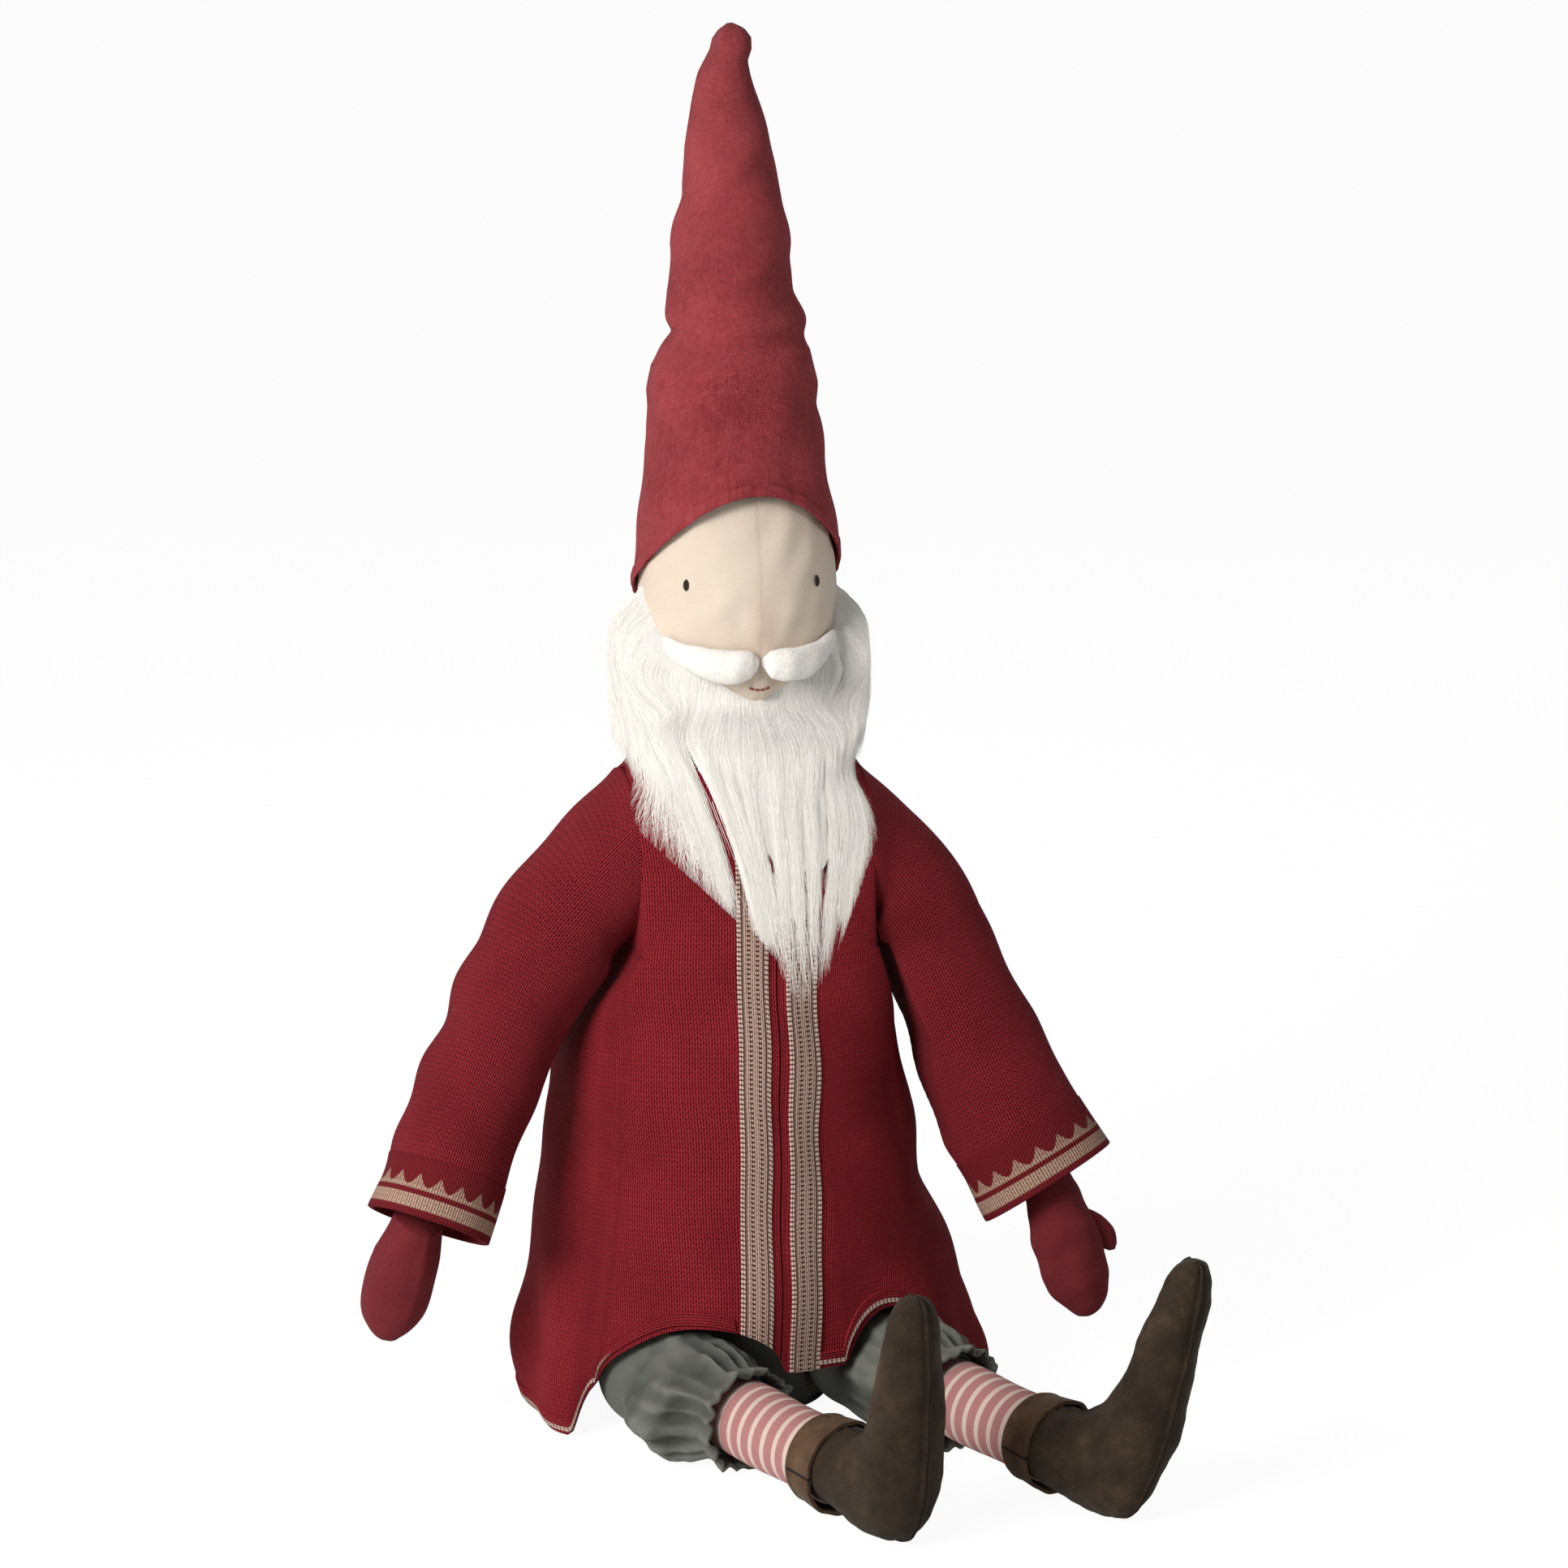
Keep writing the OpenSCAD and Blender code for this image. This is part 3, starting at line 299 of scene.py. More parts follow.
def repaint(finish, *nodes):
    """Give CAD nodes that keep their shape this finish."""
    for name in nodes:
        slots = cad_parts[name].data.materials
        slots.clear()
        slots.append(finish.material)


def linen_finish(name, pale, deep, threads):
    finish = Finish(name, 0.85, 0.1, weave=False)
    height, slub = finish.use(plain_weave, finish.spot, threads)
    broad, fine = finish.use(mottle, finish.spot, 0.04)
    finish.colour(finish.blend(slub * 0.6 + broad * 0.4, deep, pale))
    finish.bump(height, 0.25)
    return finish


under_linen = linen_finish("under_linen", dye(226, 212, 190), dye(196, 180, 156), 1.4)
pellet_bag = linen_finish("pellet_bag", dye(214, 198, 170), dye(186, 168, 140), 0.9)
stuffing = Finish("stuffing", 0.95, 0.3, weave=False)
broad, fine = stuffing.use(mottle, stuffing.spot, 0.12)
stuffing.colour(stuffing.blend(fine, dye(222, 220, 212), dye(242, 240, 234)))
stuffing.bump(fine, 1.2)
waxed_thread = Finish("waxed_thread", 0.5, weave=False)
twist = (waxed_thread.spot.axis("X") * 0.8 + waxed_thread.spot.axis("Z") * 0.5).wave()
waxed_thread.colour(waxed_thread.blend(twist, dye(206, 194, 170), dye(238, 228, 206)))
waxed_thread.bump(twist, 0.2)
repaint(under_linen, "torso_cover", "right_arm", "left_arm")
repaint(pellet_bag, "seat_weight_bag")
repaint(stuffing, "torso_stuffing", "head_stuffing", "hat_stuffing")
repaint(waxed_thread, "shoulder_thread", "hip_thread")

# Legs: stuffed tubes of striped cotton jersey, sewn to the seat so that they swing at the hips
# Only a short length shows between the breeches and the boots.
HIPS = {"right": np.array((-54.0, -45.0, 28.0)), "left": np.array((50.0, -45.0, 28.0))}
LEG_R = 18.4
LEG_START = -14.0
LEG_END = 140.6
LEG_STITCHES = 116.0
STRIPE = 8.2
ANKLE = 141.0
leg_turn = math.radians(24.0)
leg_slope = math.radians(1.7)
LEG_X = np.array((math.cos(leg_turn), math.sin(leg_turn), 0.0))
flat_share = math.cos(leg_slope)
LEG_Z = np.array((math.sin(leg_turn) * flat_share, -math.cos(leg_turn) * flat_share, -math.sin(leg_slope)))
LEG_Y = np.cross(LEG_Z, LEG_X)


def ease(t):
    t = np.clip(t, 0.0, 1.0)
    return t * t * (3.0 - 2.0 * t)


def table(x, rows):
    """Linear interpolation in rows of two numbers."""
    return np.interp(x, [r[0] for r in rows], [r[1] for r in rows])


def ripples(seed, points, size):
    """Soft seeded unevenness of about one unit over points in space."""
    rng = np.random.default_rng(seed)
    total = np.zeros(points.shape[:-1])
    for _ in range(9):
        way = rng.normal(size=3)
        way *= 2 * math.pi * rng.uniform(0.7, 1.4) / size / np.linalg.norm(way)
        total += np.sin(points @ way + rng.uniform(0, 2 * math.pi))
    return total / 2.1


def outward(grid, around):
    """Unit normals of a grid of points, on the side that its faces show."""
    down = np.gradient(grid, axis=0)
    if around:
        side = np.roll(grid, -1, axis=1) - np.roll(grid, 1, axis=1)
    else:
        side = np.gradient(grid, axis=1)
    normal = np.cross(side, down)
    return normal / np.maximum(np.linalg.norm(normal, axis=-1, keepdims=True), 1e-9)


def pushed(grid, amount, around=True):
    return grid + outward(grid, around) * np.asarray(amount)[..., None]


def smooth_mesh(name, points, faces):
    mesh = bpy.data.meshes.new(name)
    mesh.from_pydata(points, [], faces)
    mesh.shade_smooth()
    return mesh


def cloth(name, grid, weave, around=True, caps=(False, False)):
    """A smooth mesh over a grid of points in mm, with its weave places kept at the face corners."""
    rows, columns = grid.shape[:2]
    points = [tuple(p) for p in grid.reshape(-1, 3) * MM]
    faces = []
    corners = []
    for i in range(rows - 1):
        for j in range(columns if around else columns - 1):
            k = (j + 1) % columns
            faces.append((i * columns + j, i * columns + k, (i + 1) * columns + k, (i + 1) * columns + j))
            corners += [weave[i, j], weave[i, j + 1], weave[i + 1, j + 1], weave[i + 1, j]]
    for i, wanted in zip((0, rows - 1), caps):
        if wanted:
            points.append(tuple(grid[i].mean(axis=0) * MM))
            for j in range(columns):
                k = (j + 1) % columns
                ring = (i * columns + k, i * columns + j) if i == 0 else (i * columns + j, i * columns + k)
                faces.append(ring + (len(points) - 1,))
                corners += [weave[i, j]] * 3
    mesh = smooth_mesh(name, points, faces)
    places = mesh.attributes.new("weave", "FLOAT_VECTOR", "CORNER")
    flat = np.zeros((len(corners), 3), dtype=np.float32)
    flat[:, :weave.shape[-1]] = np.array(corners)
    places.data.foreach_set("vector", flat.ravel())
    return placed(name, mesh)


def even_weave(rows, columns, width, length):
    """Weave places in mm over a grid, evenly spread across and along."""
    across = np.linspace(0.0, width, columns)
    along = np.linspace(0.0, length, rows)
    return np.stack(np.meshgrid(across, along), axis=-1)


def walled(piece, wall):
    """Give an open cloth its thickness, on its inner side, and fix the mesh."""
    solid = piece.modifiers.new("wall", "SOLIDIFY")
    solid.thickness = wall * MM
    solid.offset = -1.0
    solid.use_even_offset = False
    settle(piece)
    piece.data.set_sharp_from_angle(angle=math.radians(50.0))


def settle(piece):
    """Apply a piece's modifiers."""
    graph = bpy.context.evaluated_depsgraph_get()
    shape = piece.evaluated_get(graph)
    mesh = bpy.data.meshes.new_from_object(shape, preserve_all_data_layers=True, depsgraph=graph)
    piece.modifiers.clear()
    piece.data = mesh


def dress(piece, finish, body, *nodes):
    """Give a piece its finish and the body and CAD nodes that it stands for."""
    piece.data.materials.clear()
    piece.data.materials.append(finish.material)
    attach(piece, body)
    if nodes:
        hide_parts(*nodes)


def on_leg(side, x, y, t):
    """Points beside a leg: x across, y up and t along it from the hip."""
    return HIPS[side] + x[..., None] * LEG_X + y[..., None] * LEG_Y + t[..., None] * LEG_Z


def leg_tube(side, stops, radius, columns, spread=0.0):
    """A tube along a leg; radius takes the stop and the angle, and spread widens its lower outer side."""
    angle = np.linspace(0.0, 2 * math.pi, columns, endpoint=False)
    t, a = np.meshgrid(stops, angle, indexing="ij")
    r = radius(t, a)
    outer = np.maximum(0.0, np.cos(a) * (-1.0 if side == "right" else 1.0)) * (0.5 - 0.5 * np.sin(a))
    x = r * np.cos(a) * (1.0 + spread * outer * ease((t - 8.0) / 24.0) * (1.0 - ease((t - 46.0) / 16.0)))
    return on_leg(side, x, r * np.sin(a), t)


# Knit: columns of slanted stitch pairs, as stockinette shows on its right side
knit_stitch, (place,), end = effect("knit_stitch", [("Stitch", "Vector", None)], ["Height", "Lit"])
half = place.axis("X").part().away(0.5)
leg = (half - 0.25) * 4.0
slant = (place.axis("Y") - half * 1.3).part()
yarn = (slant - 0.5) * 2.0
height = ((leg * leg) * -1.0 + 1.0).root() * (((yarn * yarn) * -1.0 + 1.0).root() * 0.5 + 0.5)
# The Lit output is painted shade: the finishes darken the yarn where it is low, in the hollows between the
# stitches.
put_out(knit_stitch, end, height, height * 0.75 + slant * 0.25)

jersey = Finish("striped_jersey", 0.85, 0.15)
height, lit = jersey.use(knit_stitch, jersey.place.scaled(1.0, 1.25, 1.0))
broad, fine = jersey.use(mottle, jersey.spot, 0.06)
turn = ((jersey.place.axis("Y") + broad) / STRIPE).part()
pink = turn.step(0.0, 0.05) * turn.drop(0.66, 0.71)
rose = jersey.blend(fine, dye(194, 126, 126), dye(212, 150, 148))
cream = jersey.blend(fine, dye(240, 216, 202), dye(252, 234, 222))
base = jersey.blend(pink, cream, rose)
# Painted shade: dye(120, 70, 68) darkens the jersey in the hollows between the stitches.
jersey.colour(jersey.blend(lit * 0.35 + 0.65, dye(120, 70, 68), base))
jersey.bump(height, 0.3)

for side in ("right", "left"):
    stops = np.linspace(LEG_START, LEG_END, 90)
    grid = leg_tube(side, stops, lambda t, a: LEG_R * (1.0 - 0.02 * np.cos(t / 9.0 + np.cos(a))), 64)
    weave = even_weave(90, 65, LEG_STITCHES, LEG_END - LEG_START)
    piece = cloth(side + "_striped_leg", grid, weave, caps=(True, True))
    dress(piece, jersey, side + "_leg_body", side + "_leg")

# Breeches: loose velvet legs gathered by an elastic below the knee, with a frill under it
# The seat of the breeches goes round the bottom of the torso under the coat.
velvet = Finish("breeches_velvet", 0.9, 0.25)
velvet.shader.inputs["Sheen Roughness"].default_value = 0.35
velvet.shader.inputs["Sheen Tint"].default_value = dye(196, 200, 190)
broad, fine = velvet.use(mottle, velvet.spot, 0.05)
pile = velvet.spot.noise(2.6, 2.0, 0.6)
nap = velvet.blend(broad, dye(126, 128, 121), dye(150, 153, 145))
# Painted shade: the weave's third value is how far each fold stands out, and the fold hollows get the dark
# dye(66, 68, 63).
nap = velvet.blend(velvet.place.axis("Z") * 0.5 + 0.5, dye(66, 68, 63), nap)
velvet.colour(velvet.blend(pile * 0.6 + fine * 0.4, dye(84, 86, 80), nap))
velvet.bump(pile, 0.35)

# Breeches leg: distance from the hip along the leg, and the radius there or the depth of its gathers
BREECHES = [(0, 26.8), (18, 26.8), (38, 26.9), (50, 26.4), (57, 24.8), (62, 22.6), (64, 22.0), (66, 22.4),
            (71, 23.8), (76, 24.6)]
GATHER = [(0, 0.0), (22, 0.3), (42, 1.5), (56, 2.9), (64, 1.5), (68, 2.0), (76, 3.2)]
BREECHES_TOP = -26.6
BREECHES_END = 76.0
TOP_ROUND = 27.2
THIGH_SPREAD = 0.85
VELVET_LOW = 0.8


def breeches_radius(seed):
    rng = np.random.default_rng(seed)
    waves = [(n, rng.uniform(0.5, 1.0), rng.uniform(0, 6.3)) for n in (9, 13, 17, 22)]

    def radius(t, a):
        folds = sum(size * np.cos(n * a + phase) for n, size, phase in waves) / 2.0
        root = np.sqrt(np.clip(1.0 - np.minimum(t, 0.0) ** 2 / TOP_ROUND ** 2, 0.0, 1.0))
        return table(t, BREECHES) * root + table(t, GATHER) * np.where(folds > 0.0, folds, 0.45 * folds)

    return radius


for seed, side in enumerate(("right", "left")):
    columns = 168
    top = BREECHES_TOP * np.cos(np.linspace(0.0, 1.5, 16))
    stops = np.concatenate([top, np.linspace(0.0, BREECHES_END, 96)])
    grid = leg_tube(side, stops, breeches_radius(seed), columns, THIGH_SPREAD)
    slack = (ease((stops - 4.0) / 20.0) * (1.0 - 0.6 * ease((stops - 50.0) / 12.0)))[:, None]
    drape = np.tanh(1.2 * ripples(seed + 3, grid * np.array((1.0, 0.55, 1.0)), 26.0))
    crush = np.tanh(1.2 * ripples(seed + 5, grid, 15.0))
    folds = (1.7 * drape + 0.6 * crush) * slack
    bare = leg_tube(side, stops, lambda t, a: table(t, BREECHES) + 0.0 * a, columns, THIGH_SPREAD)
    core = on_leg(side, 0.0 * folds, 0.0 * folds, stops[:, None] + 0.0 * folds)
    # ridge measures how far the folds stand out; it is kept in the weave for the painted shade in the fold
    # hollows.
    ridge = folds / 2.0 + np.linalg.norm(grid - core, axis=-1) / 2.0
    ridge = ridge - np.linalg.norm(bare - core, axis=-1) / 2.0
    grid = pushed(grid, folds)
    grid[..., 2] = np.maximum(grid[..., 2], VELVET_LOW)
    weave = even_weave(len(stops), columns + 1, 170.0, 120.0)
    ridge = np.clip(np.concatenate([ridge, ridge[:, :1]], axis=1), -1.0, 1.0)
    weave = np.concatenate([weave, ridge[..., None]], axis=-1)
    piece = cloth(side + "_breeches", grid, weave, caps=(True, False))
    walled(piece, 1.2)
    dress(piece, velvet, side + "_leg_body", side + "_breeches_leg")
repaint(velvet, "breeches_seat")
ribbed_elastic = Finish("ribbed_elastic", 0.6, weave=False)
rib = (ribbed_elastic.spot.axis("X") * 0.9).wave()
ribbed_elastic.colour(ribbed_elastic.blend(rib, dye(92, 92, 92), dye(150, 150, 148)))
ribbed_elastic.bump(rib, 0.15)
repaint(ribbed_elastic, "right_knee_elastic", "left_knee_elastic")

# Boots: two side panels of soft brown leather, sewn down the middle and stuffed, with the toe turned up
# The paler wrong side shows on the cuff that is turned down at the ankle.
leather_grain, (place, size), end = effect(
    "leather_grain", [("Place", "Vector", None), ("Size", "Float", 1.0)], ["Height", "Worn"])
cell = leather_grain.nodes.new("ShaderNodeTexVoronoi")
cell.feature = "DISTANCE_TO_EDGE"
feed(leather_grain, place, cell.inputs["Vector"])
feed(leather_grain, size, cell.inputs["Scale"])
pebble = Wire(leather_grain, cell.outputs["Distance"]).step(0.0, 0.25)
grain = pebble * 0.6 + place.noise(size * 0.3, 3.0) * 0.7
put_out(leather_grain, end, grain, place.noise(size * 0.05, 4.0, 0.65))


def leather(name, deep, mid, rubbed):
    finish = Finish(name, 0.62, 0.04)
    height, worn = finish.use(leather_grain, finish.spot, 1.1)
    tone = finish.blend(worn.step(0.25, 0.75), deep, mid)
    edge = finish.place.axis("X").away(0.0).op("MINIMUM", finish.place.axis("X").away(100.0))
    seam = edge.op("MINIMUM", finish.place.axis("X").away(50.0))
    tone = finish.blend(worn.step(0.55, 0.85) * 0.5, tone, rubbed)
    line = seam.drop(0.25, 0.75)
    finish.colour(finish.blend(line, tone, dye(22, 16, 11)))
    finish.bump(height - line * 1.5, 0.28)
    feed(finish.tree, worn * -0.25 + 0.75, finish.shader.inputs["Roughness"])
    return finish


boot_leather = leather("boot_leather", dye(40, 31, 22), dye(62, 49, 36), dye(94, 75, 57))
cuff_leather = leather("boot_cuff_leather", dye(70, 52, 38), dye(102, 78, 58), dye(122, 97, 75))
HEEL_Y = -21.2
BOOT_TALL = 119.0
LEATHER_LOW = 0.6
# Rings of a boot from its shaft to its toe: upper point along and up, lower point along and up, half width
BOOT = np.array([
    (-11, 40.6, -11, 1.8, 19.4), (0, 41.4, 0, 3.6, 19.6), (14, 42, 18, 2, 19.8), (22, 46, 38, 0, 20.4),
    (27, 52, 53, 6, 20.4), (30, 59.5, 61, 26.2, 19.8), (33.6, 75, 62.4, 53.6, 17.8),
    (37, 92.8, 62, 83.3, 15.2), (40.6, 108.3, 60.2, 104.7, 12.4), (44, 117, 57.4, 116, 8.6),
    (48, 120, 54, 119.6, 3.6)])


def smooth_rows(rows, count):
    """More rows through the given ones, on a smooth curve."""
    padded = np.vstack([2 * rows[0] - rows[1], rows, 2 * rows[-1] - rows[-2]])
    at = np.linspace(0.0, len(rows) - 1.0, count)
    i = np.minimum(at.astype(int), len(rows) - 2)
    u = (at - i)[:, None]
    a, b, c, d = (padded[i + k] for k in range(4))
    bend = (2 * a - 5 * b + 4 * c - d) * u ** 2
    twist = (3 * b - a - 3 * c + d) * u ** 3
    return 0.5 * (2 * b + (c - a) * u + bend + twist)


TOE_LEAN = {"right": 0.0, "left": 36.0}
CUFF_START = 128.0
CUFF_END = 146.0
for seed, side in enumerate(("right", "left")):
    rows = smooth_rows(BOOT, 96)
    columns = 72
    angle = np.linspace(0.0, 2 * math.pi, columns, endpoint=False)
    middle_t = (rows[:, 0] + rows[:, 2])[:, None] / 2
    middle_y = (rows[:, 1] + rows[:, 3])[:, None] / 2
    half_t = (rows[:, 0] - rows[:, 2])[:, None] / 2
    half_y = (rows[:, 1] - rows[:, 3])[:, None] / 2
    x = rows[:, 4:5] * np.sin(angle)
    y = HEEL_Y + middle_y + half_y * np.cos(angle)
    t = ANKLE + middle_t + half_t * np.cos(angle)
    x = x + TOE_LEAN[side] * np.clip((y - HEEL_Y) / BOOT_TALL, 0.0, 1.0) * ease((t - ANKLE - 6.0) / 30.0)
    grid = on_leg(side, x, y, t)
    from_seam = np.abs((angle + math.pi / 2) % math.pi - math.pi / 2) * 17.0
    welt = 0.7 * np.exp(-((from_seam - 2.6) / 1.5) ** 2) - 1.1 * np.exp(-(from_seam / 1.0) ** 2)
    wrinkles = 0.4 * ripples(seed + 11, grid, 34.0) + 0.1 * ripples(seed + 13, grid, 9.0)
    grid = pushed(grid, welt[None, :] + wrinkles)
    grid[..., 2] = np.maximum(grid[..., 2], LEATHER_LOW)
    weave = even_weave(96, columns + 1, 100.0, 190.0)
    piece = cloth(side + "_boot_leather", grid, weave, caps=(True, True))
    dress(piece, boot_leather, side + "_leg_body", side + "_boot")

    def cuff_radius(t, a):
        down = (t - CUFF_START) / (CUFF_END - CUFF_START)
        wave = 0.35 * np.cos(5 * a + seed) + 0.25 * np.cos(11 * a + 2.0 * seed)
        return LEG_R + 2.4 + 1.8 * down + wave * down + 0.5 * np.exp(-((down - 0.12) / 0.05) ** 2)

    stops = np.linspace(CUFF_START, CUFF_END, 34)
    grid = leg_tube(side, stops, cuff_radius, 96)
    piece = cloth(side + "_boot_turned_cuff", grid, even_weave(34, 97, 100.0, CUFF_END - CUFF_START))
    walled(piece, 1.7)
    dress(piece, cuff_leather, side + "_leg_body", side + "_boot_cuff")

# Coat: a knitted wool jacket in three panels, a back and two fronts that meet edge to edge
# It is sewn at the sides, open down the front, and spreads over the thighs where the figure sits.
SHOULDER_Z = 276.0
ARMHOLE_R = 42.0
ARMHOLE_X = 57.6
ARMPIT_Z = 234.0
NECK_Z = 322.0
NECK_HALF = 54.6
NECK_DEEP = 38.0
SKIRT_Z = 110.0
HIP_Z = 28.0
HEM_LOW = 1.0
HEM_BETWEEN = 38.0
THIGH_CLEAR = 33.4
COAT_WALL = 2.2
# Coat by level: half width at the sides, half width of its ellipse, half depth, sideways sway
COAT_SKIRT = [(0, 118), (16, 121), (34, 118), (60, 110), (110, 97), (150, 90)]
COAT_SIDE = COAT_SKIRT + [(182, 84), (205, 75), (218, 67), (234, 57.6)]
COAT_WIDE = COAT_SKIRT + [(205, 88), (234, 92), (276, 101)]
COAT_FRONT = [(0, 91), (60, 88), (110, 82), (180, 70), (234, 59), (276, 51), (306, 43), (322, 38)]
COAT_SWAY = [(0, 9), (60, 2), (100, -3), (150, -6), (190, -6), (234, 0)]
FRONT_OPEN = [(0, -3), (276, 6)]


def armhole_y(z):
    return np.sqrt(np.maximum(0.0, ARMHOLE_R ** 2 - (z - SHOULDER_Z) ** 2))


def eased(z, rows, reach=14.0):
    """A table with its corners rounded off."""
    return sum(table(z + reach * k, rows) for k in (-1.0, -0.5, 0.0, 0.5, 1.0)) / 5.0


def coat_depth(z):
    return eased(z, COAT_FRONT, 9.0)


def coat_half(z):
    """Half of the full ellipse at a level."""
    cut = ARMHOLE_X / np.sqrt(1.0 - np.minimum(armhole_y(z) / coat_depth(z), 0.99) ** 2)
    armhole_top = SHOULDER_Z + ARMHOLE_R
    top = ARMHOLE_X - 3.0 * np.clip((z - armhole_top) / 4.0, 0.0, 1.0)
    return np.where(z <= SHOULDER_Z, eased(z, COAT_WIDE, 9.0), np.where(z >= armhole_top, top, cut))


def coat_limit(z):
    """Distance of the flat sides from the middle."""
    return np.where(z <= ARMPIT_Z, eased(z, COAT_SIDE, 6.0), np.minimum(ARMHOLE_X, coat_half(z)))


def coat_middle(z):
    return np.where(z >= ARMPIT_Z, 0.0, table(z, COAT_SWAY))


def coat_point(turn, z, out=0.0):
    """A point of the coat at a turn from the front and a level, with its folds."""
    low = ease((SKIRT_Z - z) / SKIRT_Z)
    fold = 2.5 * np.cos(7 * turn + 0.7) * low + 1.1 * np.cos(13 * turn + 2.0 + z / 60.0) * low
    fold = fold + out
    wide = (coat_half(z) + fold) * np.sin(turn)
    limit = coat_limit(z) + fold
    soft = 0.8 + 2.2 * ease((ARMPIT_Z - z) / 30.0)
    flat = limit - soft * np.logaddexp(0.0, (limit - np.abs(wide)) / soft)
    x = coat_middle(z) + np.sign(wide) * flat
    y = -(coat_depth(z) + fold) * np.cos(turn)
    points = np.stack([x, y, z + 0.0 * x], axis=-1)
    slack = 0.9 * ripples(21, points, 55.0) * ease((ARMPIT_Z + 30.0 - z) / 60.0)
    return points + slack[..., None] * np.stack([np.sin(turn), -np.cos(turn), 0.0 * turn], axis=-1)


def open_turn(z, shift):
    return np.arcsin((table(z, FRONT_OPEN) + shift - coat_middle(z)) / coat_half(z))


def side_turn(z):
    return np.arccos(np.minimum(armhole_y(z) / coat_depth(z), 1.0))


def beside_thigh(p, side):
    v = p - HIPS[side][:2]
    way = np.array((math.sin(leg_turn), -math.cos(leg_turn)))
    across = way[0] * v[..., 1] - way[1] * v[..., 0]
    return np.where(v @ way > 0.0, np.abs(across), np.linalg.norm(v, axis=-1)), across


def hem_at(turn):
    """Height of the hem: it arches over each thigh, dips between them and lies on the floor elsewhere."""
    p = coat_point(turn, np.full_like(turn, HIP_Z))[..., :2]
    level = np.full_like(turn, HEM_LOW)
    sides = []
    for side in ("right", "left"):
        away, across = beside_thigh(p, side)
        over = HIP_Z + np.sqrt(np.maximum(THIGH_CLEAR ** 2 - away ** 2, 0.0))
        ramp = HIP_Z - (HIP_Z - HEM_LOW) * ease((away - THIGH_CLEAR) / 9.0)
        level = np.maximum(level, np.where(away < THIGH_CLEAR, over, ramp))
        sides.append(across)
    between = (np.cos(turn) > 0.3) & (sides[0] > 0.0) & (sides[1] < 0.0)
    return np.maximum(level, np.where(between, HEM_BETWEEN, HEM_LOW))


def coat_levels(turn_at_hip, rows):
    """Levels of a panel's rows, from the hem up to the neckline."""
    hem = hem_at(turn_at_hip)[None, :]
    share = np.linspace(0.0, 1.0, rows)[:, None]
    return hem + (NECK_Z - hem) * share


def front_grid(side, near, far, rows, columns, out):
    """Points of a front panel between two distances from its free edge; far None runs to the side seam."""
    sign = -1.0 if side == "right" else 1.0
    share = np.linspace(0.0, 1.0, columns)

    def turns(z):
        edge = open_turn(z, sign * near)
        end = sign * side_turn(z) if far is None else open_turn(z, sign * far)
        return edge + (end - edge) * share

    z = coat_levels(turns(np.full(columns, HIP_Z)), rows)
    return coat_point(np.stack([turns(row) for row in z]), z, out)


def back_grid(rows, columns):
    share = np.linspace(-1.0, 1.0, columns)
    z = coat_levels(math.pi + share * math.pi / 2, rows)
    return coat_point(math.pi + share * side_turn(z), z)


def grid_weave(grid):
    """Weave places that follow each row's own length across, and the mean length along, in mm."""
    across = np.linalg.norm(np.diff(grid, axis=1), axis=-1)
    along = np.linalg.norm(np.diff(grid, axis=0), axis=-1).mean(axis=1)
    u = np.concatenate([np.zeros((len(grid), 1)), np.cumsum(across, axis=1)], axis=1)
    v = np.concatenate([[0.0], np.cumsum(along)])
    return np.stack([u, v[:, None] + 0.0 * u], axis=-1)


WALE = 2.7
COURSE = 2.3


def knit_finish(name, pale, mid, deep):
    finish = Finish(name, 0.92, 0.1)
    finish.shader.inputs["Sheen Tint"].default_value = dye(190, 80, 84)
    height, lit = finish.use(knit_stitch, finish.place.scaled(1.0 / WALE, 1.0 / COURSE, 1.0))
    broad, fine = finish.use(mottle, finish.spot, 0.03)
    hair = finish.place.scaled(1.0, 0.35, 1.0).noise(3.0, 2.0, 0.7)
    yarn = finish.blend(broad.step(0.3, 0.7) * 0.5 + fine * 0.3 + hair * 0.3, mid, pale)
    # Painted shade: the deep colour darkens the yarn in the hollows between the stitches.
    finish.colour(finish.blend(lit.step(0.2, 0.9), deep, yarn))
    finish.bump(height + hair * 0.45, 1.1)
    return finish


coat_knit = knit_finish("coat_knit", dye(172, 45, 57), dye(144, 33, 44), dye(52, 6, 11))
for side in ("right", "left"):
    grid = front_grid(side, 0.3, None, 130, 70, 0.0)
    weave = grid_weave(grid)
    weave[..., 1] = grid[..., 2]
    if side == "right":
        grid = grid[:, ::-1]
        weave = weave[:, ::-1]
    piece = cloth("coat_%s_front_panel" % side, grid, weave, around=False)
    walled(piece, COAT_WALL)
    dress(piece, coat_knit, "body", "coat_%s_front" % side)
grid = back_grid(130, 120)
weave = grid_weave(grid)
weave[..., 0] -= weave[:, 60:61, 0]
weave[..., 1] = grid[..., 2]
piece = cloth("coat_back_panel", grid, weave, around=False)
walled(piece, COAT_WALL)
dress(piece, coat_knit, "body", "coat_back")

# Bands: patterned wool strips knitted in beige and red, sewn down the fronts, round the hem and the neck
# The right front's strip is the paler one, and over the right thigh, where the hem's pale edge is rolled
# under, the hem shows only its red knit.
BAND_NEAR = 4.6
BAND_WIDE = 15.0
BAND_WALE = 2.1
BAND_WALL = 1.0
HEM_START = 19.0
NECK_BAND_H = 8.0


